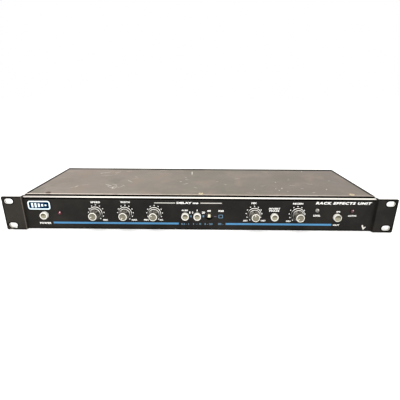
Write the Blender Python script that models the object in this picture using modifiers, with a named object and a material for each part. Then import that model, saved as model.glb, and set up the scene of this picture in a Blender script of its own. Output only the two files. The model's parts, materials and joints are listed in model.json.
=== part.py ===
"""One-unit 19-inch rack effects unit, modelled as an assembly of separate pieces.

Frame: +X is the viewer's right, the controls face -Y, +Z is up.  The world
origin is the middle of the chassis underside.  Inside this file lengths are
millimetres measured from the front plane of the rack ears (Y = 0, going back)
and from the underside (Z = 0); the empty "unit_origin" shifts the whole
assembly so that the underside's middle lands on the world origin.

Names ending in _X, _Y and _Z are places, or half spans when they are mirrored
about X = 0; _R is a radius, _L a length, _W a width, _H a height, _T a thickness.
"""
import math

import bmesh
import bpy
from mathutils import Matrix

MM = 0.001

# ---------------------------------------------------------------- shared dimensions
ORIGIN_Y = 77.5            # underside middle, behind the ear front plane
GAP = 0.3                  # resting gap between separate pieces
SEAT = 0.15                # gap under small visible pieces

PANEL_T = 3.0
RECESS = 4.0               # the control face sits this far behind the ears

COVER_X, COVER_T = 219.3, 1.2
COVER_Y0, COVER_Y1 = 13.2, 149.1
COVER_TOP = 43.6
SHEET = 1.5                # tray and rear panel thickness
TRAY_X = COVER_X - COVER_T - GAP
TRAY_Y0 = RECESS + PANEL_T + GAP
TRAY_Y1 = COVER_Y1 - COVER_T - GAP
TRAY_TOP = COVER_TOP - COVER_T - GAP
REAR_Y0, REAR_Y1 = TRAY_Y1 - SHEET, TRAY_Y1

BOARD_Z0, BOARD_T = 8.0, 1.6
BOARD_TOP = BOARD_Z0 + BOARD_T + GAP        # where parts on the board stand
POST_R, POST_TIP_R = 3.2, 1.6
STANDOFFS = (              # X, Y
    (-130.0, 70.0), (-130.0, 122.0), (30.0, 70.0),
    (30.0, 122.0), (195.0, 62.0), (195.0, 122.0),
)

KNOB_Z = 22.4
KNOBS = (                  # name, X, pointer angle clockwise from straight up
    ("speed", -128.0, -112.0),
    ("width", -91.45, -150.0),
    ("delay", -55.2, -60.0),
    ("mix", 68.6, -8.0),
    ("regen", 122.0, -135.0),
)

BUTTON_Z, BUTTON_R = 18.35, 4.75
RANGE_X = (-16.95, -1.95, 12.9)
POWER_X, INVERT_X, IN_OUT_X = -193.1, 94.0, 171.8
BUTTONS_X = (POWER_X, INVERT_X, IN_OUT_X) + RANGE_X

LED_R = 2.5
LEDS = (                   # name, material, X, Z
    ("power_led", "led_red", -173.7, 21.3),
    ("level_led", "led_clear", 146.5, 27.1),
    ("active_led", "led_red", 189.3, 26.6),
)

SHANK_R = 1.6
TOP_SCREWS = (("left", -191.0), ("middle", 2.4), ("right", 192.0))      # name, X
TOP_SCREW_Y = 17.0
REAR_SCREWS = (("left", -150.0), ("right", 150.0))                      # name, X
REAR_SCREW_Z = 38.2

JACKS = (("input_jack", 60.0), ("output_jack", 95.0), ("footswitch_jack", 130.0))   # name, X
JACK_Z = 19.0
FUSE_X, FUSE_Z = -120.0, 19.0
INLET_X, INLET_Z = -170.0, 19.0
INLET_BODY_X, INLET_BODY_Z = 13.5, 9.75     # half width and half height

# ---------------------------------------------------------------- scene
for old in list(bpy.data.objects):
    bpy.data.objects.remove(old, do_unlink=True)

MODEL = bpy.data.collections.new("rack_effects_unit")
TOOLS = bpy.data.collections.new("cutters")
bpy.context.scene.collection.children.link(MODEL)
bpy.context.scene.collection.children.link(TOOLS)

ORIGIN = bpy.data.objects.new("unit_origin", None)
ORIGIN.location = (0.0, -ORIGIN_Y * MM, 0.0)
MODEL.objects.link(ORIGIN)

FINISHES = {               # base colour (linear RGB), roughness, metallic
    "panel_black": ((0.030, 0.028, 0.025), 0.50, 0.0),
    "cover_paint": ((0.29, 0.26, 0.22), 0.55, 0.0),
    "zinc_steel": ((0.55, 0.54, 0.50), 0.40, 1.0),
    "badge_blue": ((0.02, 0.16, 0.42), 0.35, 0.0),
    "yellow_zinc": ((0.70, 0.47, 0.18), 0.35, 1.0),
    "board_green": ((0.03, 0.16, 0.06), 0.50, 0.0),
    "core_steel": ((0.22, 0.21, 0.20), 0.60, 1.0),
    "winding_tape": ((0.55, 0.42, 0.10), 0.60, 0.0),
    "capacitor_sleeve": ((0.03, 0.05, 0.18), 0.35, 0.0),
    "sink_black": ((0.03, 0.03, 0.03), 0.55, 1.0),
    "chip_black": ((0.02, 0.02, 0.02), 0.50, 0.0),
    "jack_black": ((0.03, 0.03, 0.03), 0.40, 0.0),
    "led_red": ((0.20, 0.01, 0.01), 0.15, 0.0),
    "led_clear": ((0.50, 0.48, 0.44), 0.15, 0.0),
    "switch_grey": ((0.20, 0.20, 0.19), 0.50, 0.0),
    "pot_steel": ((0.50, 0.49, 0.46), 0.40, 1.0),
    "shaft_aluminium": ((0.70, 0.69, 0.66), 0.35, 1.0),
    "knob_black": ((0.025, 0.024, 0.022), 0.40, 0.0),
    "inlay_aluminium": ((0.42, 0.40, 0.34), 0.35, 1.0),
    "button_cream": ((0.88, 0.87, 0.80), 0.35, 0.0),
    "plunger_cream": ((0.80, 0.76, 0.60), 0.45, 0.0),
}


def make_material(name, colour, roughness, metallic):
    """A Principled BSDF with the piece's plain colour."""
    result = bpy.data.materials.new(name)
    result.use_nodes = True
    shader = result.node_tree.nodes["Principled BSDF"]
    shader.inputs["Base Color"].default_value = (*colour, 1.0)
    shader.inputs["Roughness"].default_value = roughness
    shader.inputs["Metallic"].default_value = metallic
    return result


MATERIALS = {name: make_material(name, *finish) for name, finish in FINISHES.items()}


# ---------------------------------------------------------------- mesh tools
def finish_mesh(shape):
    """Turn a bmesh into a mesh with its normals facing out."""
    bmesh.ops.recalc_face_normals(shape, faces=shape.faces)
    mesh = bpy.data.meshes.new("mesh")
    shape.to_mesh(mesh)
    shape.free()
    return mesh


def box_mesh(low, high, bevel=0.0):
    """An axis-aligned block between two corners, with an optional edge bevel."""
    size = [(high[i] - low[i]) * MM for i in range(3)]
    middle = [(high[i] + low[i]) * MM / 2 for i in range(3)]
    shape = bmesh.new()
    bmesh.ops.create_cube(shape, size=1.0)
    bmesh.ops.scale(shape, vec=size, verts=shape.verts)
    bmesh.ops.translate(shape, vec=middle, verts=shape.verts)
    if bevel:
        bmesh.ops.bevel(shape, geom=list(shape.edges), offset=bevel * MM,
                        segments=1, profile=0.5, affect="EDGES")
    return finish_mesh(shape)


def rod_mesh(axis, start, end, x, across, radius, segments, turn=0.0):
    """A cylinder from start to end along Y or Z; across is its Z or its Y."""
    shape = bmesh.new()
    bmesh.ops.create_cone(shape, cap_ends=True, cap_tris=False, segments=segments,
                          radius1=radius * MM, radius2=radius * MM, depth=(end - start) * MM)
    bmesh.ops.rotate(shape, cent=(0, 0, 0), matrix=Matrix.Rotation(turn, 3, "Z"),
                     verts=shape.verts)
    middle = (x * MM, across * MM, (start + end) / 2 * MM)
    if axis == "Y":
        bmesh.ops.rotate(shape, cent=(0, 0, 0), matrix=Matrix.Rotation(math.pi / 2, 3, "X"),
                         verts=shape.verts)
        middle = (middle[0], middle[2], middle[1])
    bmesh.ops.translate(shape, vec=middle, verts=shape.verts)
    return finish_mesh(shape)


def merged(meshes):
    """Several separate meshes in one, for use as a cutter."""
    shape = bmesh.new()
    for mesh in meshes:
        shape.from_mesh(mesh)
    return finish_mesh(shape)


def outline_mesh(points, depth, plane, offset=(0, 0, 0)):
    """A flat outline as a filled 2D curve, extruded and turned to a mesh.

    plane XY extrudes along Z, XZ along Y and YZ along X; the block is centred
    on the outline's plane and then moved by offset.
    """
    curve = bpy.data.curves.new("outline", "CURVE")
    curve.dimensions = "2D"
    curve.fill_mode = "BOTH"
    curve.extrude = depth / 2 * MM
    spline = curve.splines.new("POLY")
    spline.points.add(len(points) - 1)
    for point, (across, along) in zip(spline.points, points):
        point.co = (across * MM, along * MM, 0.0, 1.0)
    spline.use_cyclic_u = True
    holder = bpy.data.objects.new("outline", curve)
    TOOLS.objects.link(holder)
    bpy.context.view_layer.update()
    graph = bpy.context.evaluated_depsgraph_get()
    mesh = bpy.data.meshes.new_from_object(holder.evaluated_get(graph))
    bpy.data.objects.remove(holder, do_unlink=True)

    shape = bmesh.new()
    shape.from_mesh(mesh)
    bmesh.ops.remove_doubles(shape, verts=shape.verts, dist=1e-6)
    bmesh.ops.dissolve_limit(shape, angle_limit=0.001, verts=shape.verts, edges=shape.edges)
    upright = Matrix.Rotation(math.pi / 2, 3, "X")
    turn = {"XY": Matrix.Identity(3),
            "XZ": upright,
            "YZ": Matrix.Rotation(math.pi / 2, 3, "Z") @ upright}[plane]
    bmesh.ops.rotate(shape, cent=(0, 0, 0), matrix=turn, verts=shape.verts)
    bmesh.ops.translate(shape, vec=[v * MM for v in offset], verts=shape.verts)
    return finish_mesh(shape)


def arc(centre_x, centre_y, radius, start, sweep, steps):
    """Points along an arc, in its own plane; start and sweep are degrees."""
    angles = [math.radians(start + sweep * i / steps) for i in range(steps + 1)]
    return [(centre_x + radius * math.cos(angle), centre_y + radius * math.sin(angle))
            for angle in angles]


# ---------------------------------------------------------------- pieces and cutters
def add(name, mesh, material, location=(0, 0, 0)):
    """A named piece of the unit under the origin empty."""
    piece = bpy.data.objects.new(name, mesh)
    piece.location = [v * MM for v in location]
    piece.parent = ORIGIN
    MODEL.objects.link(piece)
    mesh.name = name
    mesh.materials.append(MATERIALS[material])
    return piece


def cut(piece, name, mesh, operation="DIFFERENCE"):
    """Apply a mesh to a piece as a boolean with a hidden, named cutter."""
    cutter = bpy.data.objects.new(name, mesh)
    cutter.parent = ORIGIN
    cutter.hide_render = True
    cutter.display_type = "WIRE"
    TOOLS.objects.link(cutter)
    mesh.name = name
    modifier = piece.modifiers.new(name, "BOOLEAN")
    modifier.operation = operation
    modifier.solver = "EXACT"
    modifier.object = cutter


def join(piece, name, mesh):
    """Fuse a mesh to a piece, in the same way."""
    cut(piece, name, mesh, "UNION")


def turned(name, material, profile, location, facing, steps):
    """A turned piece: (radius, height) points down its outer side, swept by Screw.

    Height runs outwards: to -Y when facing is "front", to +Y when it is
    "rear", and to +Z when it is "up".
    """
    mesh = bpy.data.meshes.new(name)
    points = [(radius * MM, 0.0, height * MM) for radius, height in profile]
    mesh.from_pydata(points, [(i, i + 1) for i in range(len(points) - 1)], [])
    piece = add(name, mesh, material, location)
    tilt = {"front": math.pi / 2, "rear": -math.pi / 2, "up": 0}[facing]
    piece.rotation_euler = (tilt, 0, 0)
    screw = piece.modifiers.new("sweep", "SCREW")
    screw.axis = "Z"
    screw.angle = 2 * math.pi
    screw.steps = steps
    screw.render_steps = steps
    screw.use_merge_vertices = True
    screw.merge_threshold = 0.00001
    screw.use_smooth_shade = True
    return piece


def control_holes(start, end, knob_hole, button_hole, lamp_hole):
    """Holes along Y for every control; each kind is given as (radius, segments)."""
    holes = [rod_mesh("Y", start, end, x, KNOB_Z, *knob_hole) for _, x, _ in KNOBS]
    holes += [rod_mesh("Y", start, end, x, BUTTON_Z, *button_hole) for x in BUTTONS_X]
    holes += [rod_mesh("Y", start, end, x, z, *lamp_hole) for _, _, x, z in LEDS]
    return holes


def screw_holes(axis, start, end, stations, across):
    return [rod_mesh(axis, start, end, x, across, SHANK_R + GAP, 12) for _, x in stations]


# ---------------------------------------------------------------- front panel
PANEL_X = 241.3            # half of the 482.6 mm (19 inch) panel
PANEL_H = 43.66            # one rack unit panel height
EAR_INNER_X, FACE_X = 217.3, 216.3          # the step from ear to control face
EAR_CORNER = 1.4
FACE_TOP = 43.0
STRIP_Z = 41.4             # the bare chamfer along the top edge starts here
STRIP_DEPTH = 1.8
SLOT_X = 232.55            # 465.1 mm between rack slots
SLOT_DZ = 31.75
SLOT_L, SLOT_H = 10.5, 6.5


def slot_outline(centre_x, centre_z):
    """Outline of a rack slot with round ends."""
    radius = SLOT_H / 2
    half = SLOT_L / 2 - radius
    return (arc(centre_x + half, centre_z, radius, -90, 180, 6)
            + arc(centre_x - half, centre_z, radius, 90, 180, 6))


def round_ear_corners(mesh):
    """Round the four outer corners of the ears."""
    shape = bmesh.new()
    shape.from_mesh(mesh)
    corners = []
    for edge in shape.edges:
        first, last = edge.verts
        at_end = all(abs(abs(v.co.x) - PANEL_X * MM) < 1e-6 for v in edge.verts)
        if at_end and abs(first.co.y - last.co.y) > 1e-3:
            corners.append(edge)
    bmesh.ops.bevel(shape, geom=corners, offset=EAR_CORNER * MM, segments=3,
                    profile=0.5, affect="EDGES")
    return finish_mesh(shape)


def build_front_panel():
    """Two rack ears stepping back to the control face."""
    ear_back_x, face_back_x = EAR_INNER_X + 1.6, FACE_X + 1.4
    face_back = RECESS + PANEL_T
    outline = [            # X, Y seen from above
        (-PANEL_X, 0), (-EAR_INNER_X, 0), (-FACE_X, RECESS),
        (FACE_X, RECESS), (EAR_INNER_X, 0), (PANEL_X, 0),
        (PANEL_X, PANEL_T), (ear_back_x, PANEL_T), (face_back_x, face_back),
        (-face_back_x, face_back), (-ear_back_x, PANEL_T), (-PANEL_X, PANEL_T),
    ]
    mesh = outline_mesh(outline, PANEL_H, "XY", (0, 0, PANEL_H / 2))
    panel = add("front_panel", round_ear_corners(mesh), "panel_black")

    # The control face is a little lower than the ears, with a chamfered top edge.
    slope = (FACE_TOP - STRIP_Z) / STRIP_DEPTH
    trim = [               # Y, Z; it starts 1 mm in front of the face, on the slope
        (RECESS - 1.0, STRIP_Z - slope), (RECESS + STRIP_DEPTH, FACE_TOP),
        (face_back + 2, FACE_TOP), (face_back + 2, FACE_TOP + 3), (RECESS - 1.0, FACE_TOP + 3),
    ]
    cut(panel, "cut_top_edge", outline_mesh(trim, 2 * (FACE_X + 0.35), "YZ"))

    holes = []
    for side in (-1, 1):
        for level in (-1, 1):
            outline = slot_outline(side * SLOT_X, PANEL_H / 2 + level * SLOT_DZ / 2)
            holes.append(outline_mesh(outline, 14, "XZ", (0, 2, 0)))
    holes += control_holes(2, 9, knob_hole=(3.8, 16), button_hole=(BUTTON_R + GAP, 20),
                           lamp_hole=(LED_R + 0.2, 16))
    cut(panel, "cut_panel_holes", merged(holes))


BADGE_X0, BADGE_X1 = -211.7, -184.0
BADGE_Z0, BADGE_Z1 = 25.9, 37.4
BADGE_R, BADGE_T = 3.0, 0.8


def build_badge():
    """A plain rounded plate on the face above the power button."""
    left, right = BADGE_X0 + BADGE_R, BADGE_X1 - BADGE_R
    bottom, top = BADGE_Z0 + BADGE_R, BADGE_Z1 - BADGE_R
    outline = []
    for x, z, start in ((right, bottom, -90), (right, top, 0), (left, top, 90), (left, bottom, 180)):
        outline += arc(x, z, BADGE_R, start, 90, 4)
    mesh = outline_mesh(outline, BADGE_T, "XZ", (0, RECESS - SEAT - BADGE_T / 2, 0))
    add("badge_plate", mesh, "badge_blue")


# ---------------------------------------------------------------- chassis tray
FLANGE_Y = 24.0            # rear edge of the top flange


def build_tray():
    """Front wall, underside and a return flange in one bent sheet, with side walls."""
    outline = [            # Y, Z
        (TRAY_Y0, 0), (TRAY_Y1, 0), (TRAY_Y1, SHEET), (TRAY_Y0 + SHEET, SHEET),
        (TRAY_Y0 + SHEET, TRAY_TOP - SHEET), (FLANGE_Y, TRAY_TOP - SHEET),
        (FLANGE_Y, TRAY_TOP), (TRAY_Y0, TRAY_TOP),
    ]
    tray = add("chassis_tray", outline_mesh(outline, 2 * TRAY_X, "YZ"), "zinc_steel")
    for side, name in ((-1, "left"), (1, "right")):
        x0, x1 = sorted((side * TRAY_X, side * (TRAY_X - SHEET)))
        wall = box_mesh((x0, TRAY_Y0, 0), (x1, TRAY_Y1, TRAY_TOP))
        join(tray, "tray_wall_" + name, wall)

    # Posts carry the circuit board; their thinner tips pass through it.
    posts = [rod_mesh("Z", 0.8, BOARD_Z0 - GAP, x, y, POST_R, 12) for x, y in STANDOFFS]
    join(tray, "tray_posts", merged(posts))
    tips = [rod_mesh("Z", 5.0, 12.0, x, y, POST_TIP_R, 10) for x, y in STANDOFFS]
    join(tray, "tray_post_tips", merged(tips))

    holes = control_holes(5, 11, knob_hole=(4.2, 14), button_hole=(5.8, 14), lamp_hole=(3.4, 12))
    holes += screw_holes("Z", TRAY_TOP - 4, TRAY_TOP + 2, TOP_SCREWS, TOP_SCREW_Y)
    cut(tray, "cut_tray_holes", merged(holes))


# ---------------------------------------------------------------- top cover
COVER_BOTTOM = 1.0
COVER_CORNER = 1.5
LIP_Z = 34.0               # lower edge of the rear lip
LIP_INSET = 0.6


def build_cover():
    """A folded sheet over the top and both sides, with a lip down the back."""
    inner_x = COVER_X - COVER_T
    corner_x, corner_z = COVER_X - COVER_CORNER, COVER_TOP - COVER_CORNER
    outline = [            # X, Z
        (-COVER_X, COVER_BOTTOM), (-inner_x, COVER_BOTTOM), (-inner_x, COVER_TOP - COVER_T),
        (inner_x, COVER_TOP - COVER_T), (inner_x, COVER_BOTTOM), (COVER_X, COVER_BOTTOM),
    ]
    outline += arc(corner_x, corner_z, COVER_CORNER, 0, 90, 3)
    outline += arc(-corner_x, corner_z, COVER_CORNER, 90, 90, 3)
    mesh = outline_mesh(outline, COVER_Y1 - COVER_Y0, "XZ", (0, (COVER_Y0 + COVER_Y1) / 2, 0))
    cover = add("top_cover", mesh, "cover_paint")

    lip_x = COVER_X - LIP_INSET
    lip = box_mesh((-lip_x, COVER_Y1 - COVER_T, LIP_Z), (lip_x, COVER_Y1, COVER_TOP - LIP_INSET))
    join(cover, "cover_rear_lip", lip)

    # Each side runs on past the top sheet, up to the back of the front panel.
    for side, name in ((-1, "left"), (1, "right")):
        x0, x1 = sorted((side * COVER_X, side * inner_x))
        wing = box_mesh((x0, TRAY_Y0, COVER_BOTTOM), (x1, COVER_Y0 + 1.0, corner_z))
        join(cover, "cover_side_" + name, wing)

    holes = screw_holes("Z", COVER_TOP - 4, COVER_TOP + 2, TOP_SCREWS, TOP_SCREW_Y)
    holes += screw_holes("Y", COVER_Y1 - 4, COVER_Y1 + 2, REAR_SCREWS, REAR_SCREW_Z)
    cut(cover, "cut_cover_holes", merged(holes))


# ---------------------------------------------------------------- rear panel
REAR_FOOT_Y = 134.0        # front edge of the foot along the tray floor
JACK_HOLE_R, FUSE_HOLE_R = 5.0, 6.3


def build_rear_panel():
    """An upright sheet whose foot runs forward over the tray floor."""
    floor = SHEET + GAP
    foot_top = 2 * SHEET + GAP
    outline = [            # Y, Z
        (REAR_FOOT_Y, floor), (REAR_Y1, floor), (REAR_Y1, TRAY_TOP),
        (REAR_Y0, TRAY_TOP), (REAR_Y0, foot_top), (REAR_FOOT_Y, foot_top),
    ]
    rear = add("rear_panel", outline_mesh(outline, 2 * (TRAY_X - SHEET - GAP), "YZ"), "zinc_steel")

    start, end = REAR_Y0 - 3, REAR_Y1 + 3
    hole_x, hole_z = INLET_BODY_X + GAP, INLET_BODY_Z + GAP
    holes = [rod_mesh("Y", start, end, x, JACK_Z, JACK_HOLE_R, 16) for _, x in JACKS]
    holes.append(rod_mesh("Y", start, end, FUSE_X, FUSE_Z, FUSE_HOLE_R, 20))
    holes.append(box_mesh((INLET_X - hole_x, start, INLET_Z - hole_z),
                          (INLET_X + hole_x, end, INLET_Z + hole_z)))
    holes += screw_holes("Y", start, end, REAR_SCREWS, REAR_SCREW_Z)
    cut(rear, "cut_rear_holes", merged(holes))


# ---------------------------------------------------------------- cover screws
HEAD_R, HEAD_H, SHANK_L = 3.2, 0.75, 7.0
HEAD_LIFT = 0.1            # gap under the head
CROSS_L, CROSS_W, CROSS_DEPTH = 3.2, 0.7, 0.45
SCREW_PROFILE = [          # radius, height above the underside of the head
    (0, HEAD_H), (1.9, HEAD_H), (2.8, 0.55), (HEAD_R, 0.15), (HEAD_R, 0),
    (SHANK_R, 0), (SHANK_R, -SHANK_L), (0, -SHANK_L),
]


def cover_screw(name, recess_name, facing, x, across, surface):
    """A screw facing up or to the rear; across is its Y or its Z, surface the other."""
    def place(point):
        return point if facing == "up" else (point[0], point[2], point[1])

    seat = surface + HEAD_LIFT
    screw = turned(name, "yellow_zinc", SCREW_PROFILE, place((x, across, seat)), facing, 14)
    head = seat + HEAD_H
    for i, (width, depth) in enumerate(((CROSS_L, CROSS_W), (CROSS_W, CROSS_L))):
        low = (x - width / 2, across - depth / 2, head - CROSS_DEPTH)
        high = (x + width / 2, across + depth / 2, head + 1)
        cut(screw, f"{recess_name}_{i}", box_mesh(place(low), place(high)))


def build_cover_screws():
    for name, x in TOP_SCREWS:
        cover_screw("cover_screw_front_" + name, "cut_recess_" + name, "up",
                    x, TOP_SCREW_Y, COVER_TOP)
    for name, x in REAR_SCREWS:
        cover_screw("cover_screw_rear_" + name, "cut_rear_recess_" + name, "rear",
                    x, REAR_SCREW_Z, COVER_Y1)


# ---------------------------------------------------------------- potentiometers and knobs
POT_Y0, POT_Y1 = TRAY_Y0 + SHEET + GAP, 19.0
CAN_R, BUSHING_R, NUT_R = 8.2, 3.5, 5.0
BORE_R = 3.15              # clears the shaft, in both the bushing and the knob
SHAFT_R, SHAFT_L, SHAFT_BACK_Y = 3.0, 20.2, 14.2

KNOB_FRONT = -10.8
KNOB_BASE = RECESS - GAP
KNOB_L = KNOB_BASE - KNOB_FRONT
SKIRT_R, SKIRT_L = 8.5, 1.7
GRIP_R0, GRIP_R1 = 6.6, 5.85                # at the skirt and at the front
FLUTES = 10
FLUTE_SCALE = 0.955
HOLLOW_R, HOLLOW_L = 5.6, 3.4
KNOB_BORE_L = 10.6
INLAY_T = 0.75
INLAY_SEAT = INLAY_T + SEAT


def potentiometer(name, x):
    """Can, threaded bushing and ring nut around a blind bore for the shaft."""
    nut_front = POT_Y1 - KNOB_BASE
    can_front = POT_Y1 - POT_Y0
    tip = POT_Y1 - 1.5
    nut_rim = POT_Y1 - 2.1
    profile = [
        (0, 4.0), (BORE_R, 4.0), (BORE_R, tip), (BUSHING_R, tip),
        (BUSHING_R, nut_rim), (NUT_R, nut_rim), (NUT_R, nut_front), (BUSHING_R, nut_front),
        (BUSHING_R, can_front), (CAN_R, can_front), (CAN_R, 0), (0, 0),
    ]
    pot = turned(name + "_potentiometer", "pot_steel", profile, (x, POT_Y1, KNOB_Z), "front", 16)
    terminals = box_mesh((x - 5, POT_Y0 + 1.5, BOARD_TOP), (x + 5, POT_Y0 + 2.7, KNOB_Z - 7.0))
    join(pot, name + "_terminals", terminals)
    shaft_profile = [(0, SHAFT_L), (2.7, SHAFT_L), (SHAFT_R, SHAFT_L - 0.3), (SHAFT_R, 0), (0, 0)]
    turned(name + "_shaft", "shaft_aluminium", shaft_profile, (x, SHAFT_BACK_Y, KNOB_Z),
           "front", 16)


def flute_grip(mesh):
    """Pull in every other column of grip points; the hollow's inner rim goes with them."""
    for vertex in mesh.vertices:
        radius = math.hypot(vertex.co.x, vertex.co.y)
        on_grip = GRIP_R1 - 0.3 < radius / MM < GRIP_R0 + 0.1
        if on_grip and vertex.co.z > (SKIRT_L - 0.1) * MM:
            column = round(math.atan2(vertex.co.y, vertex.co.x) / (math.pi / FLUTES))
            if column % 2:
                vertex.co.x *= FLUTE_SCALE
                vertex.co.y *= FLUTE_SCALE


def control_knob(name, x, pointer):
    """Flared skirt and fluted tapering grip, with a metal inlay in the front.

    The hollow back clears the nut, and a blind bore takes the shaft.
    """
    seat = KNOB_L - INLAY_SEAT
    profile = [
        (0, seat), (GRIP_R1 - 0.25, seat), (GRIP_R1, KNOB_L - 1.2), (GRIP_R0, SKIRT_L),
        (SKIRT_R - 0.9, SKIRT_L), (SKIRT_R, SKIRT_L - 0.7), (SKIRT_R, 0), (HOLLOW_R, 0),
        (HOLLOW_R, HOLLOW_L), (BORE_R, HOLLOW_L), (BORE_R, KNOB_BORE_L), (0, KNOB_BORE_L),
    ]
    knob = turned(name + "_knob", "knob_black", profile, (x, KNOB_BASE, KNOB_Z),
                  "front", 2 * FLUTES)
    # The sweep is made into a real mesh so that its points can be moved.
    bpy.context.view_layer.update()
    graph = bpy.context.evaluated_depsgraph_get()
    mesh = bpy.data.meshes.new_from_object(knob.evaluated_get(graph))
    flute_grip(mesh)
    knob.modifiers.clear()
    knob.data = mesh
    knob.rotation_euler = (math.pi / 2, math.radians(pointer), 0)

    inlay_profile = [(0, 0.35), (3.4, 0.35), (3.8, INLAY_T), (5.4, INLAY_T),
                     (5.55, 0.6), (5.55, 0), (0, 0)]
    turned(name + "_knob_inlay", "inlay_aluminium", inlay_profile,
           (x, KNOB_FRONT + INLAY_T, KNOB_Z), "front", 18)


# ---------------------------------------------------------------- push buttons
BUTTON_L = 9.0             # the cap runs from the ear plane back to here
PLUNGER_X, PLUNGER_Z = 3.3 / 2, 4.0 / 2     # half width and half height
PLUNGER_FRONT, PLUNGER_BACK = 4.3, 22.0
TRAVEL = 3.0
SOCKET_GAP = 0.15
SWITCH_Y0, SWITCH_Y1 = 13.0, 45.0
SWITCH_HALF = 6.0          # housing around each plunger's centre, in X and Z


def plunger_box(x, front, back, margin=0.0, bevel=0.0):
    return box_mesh((x - PLUNGER_X - margin, front, BUTTON_Z - PLUNGER_Z - margin),
                    (x + PLUNGER_X + margin, back, BUTTON_Z + PLUNGER_Z + margin), bevel)


def switch_body(name, stations, foot_z):
    """A block housing with one blind channel for each plunger, on a foot."""
    x0, x1 = min(stations) - SWITCH_HALF, max(stations) + SWITCH_HALF
    body = add(name, box_mesh((x0, SWITCH_Y0, BUTTON_Z - SWITCH_HALF),
                              (x1, SWITCH_Y1, BUTTON_Z + SWITCH_HALF), 0.5), "switch_grey")
    join(body, name + "_foot", box_mesh((x0 + 3, 18.0, foot_z), (x1 - 3, 40.0, BUTTON_Z - 5.0)))
    channels = [plunger_box(x, 10.0, PLUNGER_BACK + TRAVEL + 1.5, margin=GAP) for x in stations]
    cut(body, name + "_channels", merged(channels))


def button_cap(name, x):
    """A round cap with a dished front and a square socket for its plunger."""
    profile = [
        (0, BUTTON_L - 1.6), (2.1, BUTTON_L - 1.4), (2.9, BUTTON_L - 0.4), (3.3, BUTTON_L),
        (4.2, BUTTON_L), (BUTTON_R, BUTTON_L - 0.5), (BUTTON_R, 0), (0, 0),
    ]
    cap = turned(name, "button_cream", profile, (x, BUTTON_L, BUTTON_Z), "front", 20)
    socket = plunger_box(x, PLUNGER_FRONT - GAP, BUTTON_L + 2, margin=SOCKET_GAP)
    cut(cap, name + "_socket", socket)


def build_buttons():
    switch_body("power_switch", (POWER_X,), SHEET + GAP)
    switch_body("range_switch", RANGE_X, BOARD_TOP)
    switch_body("invert_switch", (INVERT_X,), BOARD_TOP)
    switch_body("in_out_switch", (IN_OUT_X,), BOARD_TOP)
    stations = [("power", POWER_X)]
    stations += [(f"range_{i}", x) for i, x in enumerate(RANGE_X, 1)]
    stations += [("invert", INVERT_X), ("in_out", IN_OUT_X)]
    for name, x in stations:
        mesh = plunger_box(x, PLUNGER_FRONT, PLUNGER_BACK, bevel=0.35)
        add(name + "_plunger", mesh, "plunger_cream")
        if name != "range_3":          # this plunger has lost its cap
            button_cap(name + "_button", x)


# ---------------------------------------------------------------- indicator lamps
LED_BACK_Y = 10.5
DOME_BASE = 6.0            # the dome starts this far in front of the lamp's back
FLANGE_R, FLANGE_T = 2.9, 1.0
LEAD_X, LEAD_HALF = 1.27, 0.3


def indicator_lamp(name, material, x, z):
    """A domed lamp with a flange and two square leads to the rear."""
    profile = [(0, DOME_BASE + LED_R)] + arc(0, DOME_BASE, LED_R, 90, -90, 3)[1:]
    profile += [(LED_R, FLANGE_T), (FLANGE_R, FLANGE_T), (FLANGE_R, 0), (0, 0)]
    lamp = turned(name, material, profile, (x, LED_BACK_Y, z), "front", 12)
    leads = [box_mesh((x + side * LEAD_X - LEAD_HALF, 10.0, z - LEAD_HALF),
                      (x + side * LEAD_X + LEAD_HALF, 15.0, z + LEAD_HALF)) for side in (-1, 1)]
    join(lamp, name + "_leads", merged(leads))


# ---------------------------------------------------------------- inside
def build_board():
    mesh = box_mesh((-140.0, 9.2, BOARD_Z0), (205.0, 130.0, BOARD_Z0 + BOARD_T))
    board = add("main_circuit_board", mesh, "board_green")
    holes = [rod_mesh("Z", BOARD_Z0 - 2, BOARD_Z0 + 4, x, y, POST_TIP_R + GAP, 12)
             for x, y in STANDOFFS]
    cut(board, "cut_board_holes", merged(holes))


def build_transformer():
    """A core with two windows, and a winding that passes through them."""
    centre_x, centre_y = -172.0, 84.0
    core_x, core_y, core_top = 21, 11, 36.8
    window_x, window_half = 9.5, 3.5
    window_z0, window_z1 = 9.0, 29.6
    winding_x, winding_y = window_x + window_half - GAP, 18
    bore_x, bore_y = window_x - window_half + GAP, core_y + GAP

    def block(half_x, half_y, z0, z1, bevel=0.0, shift=0.0):
        x = centre_x + shift
        return box_mesh((x - half_x, centre_y - half_y, z0),
                        (x + half_x, centre_y + half_y, z1), bevel)

    core = add("transformer_core", block(core_x, core_y, SHEET + GAP, core_top, 0.4), "core_steel")
    windows = [block(window_half, 15, window_z0, window_z1, shift=side * window_x)
               for side in (-1, 1)]
    cut(core, "cut_core_windows", merged(windows))
    mesh = block(winding_x, winding_y, window_z0 + GAP, window_z1 - GAP, 1.0)
    winding = add("transformer_winding", mesh, "winding_tape")
    cut(winding, "cut_winding", block(bore_x, bore_y, 5.0, 34.0))


def build_capacitor():
    """An upright can with a groove near its foot."""
    profile = [            # radius, height
        (0, 27.2), (7.6, 27.2), (8.6, 26.8), (9.0, 26.0), (9.0, 4.0),
        (8.5, 3.4), (8.5, 2.8), (9.0, 2.2), (9.0, 0), (0, 0),
    ]
    turned("filter_capacitor", "capacitor_sleeve", profile, (-104.0, 104.0, BOARD_TOP), "up", 18)


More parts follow.
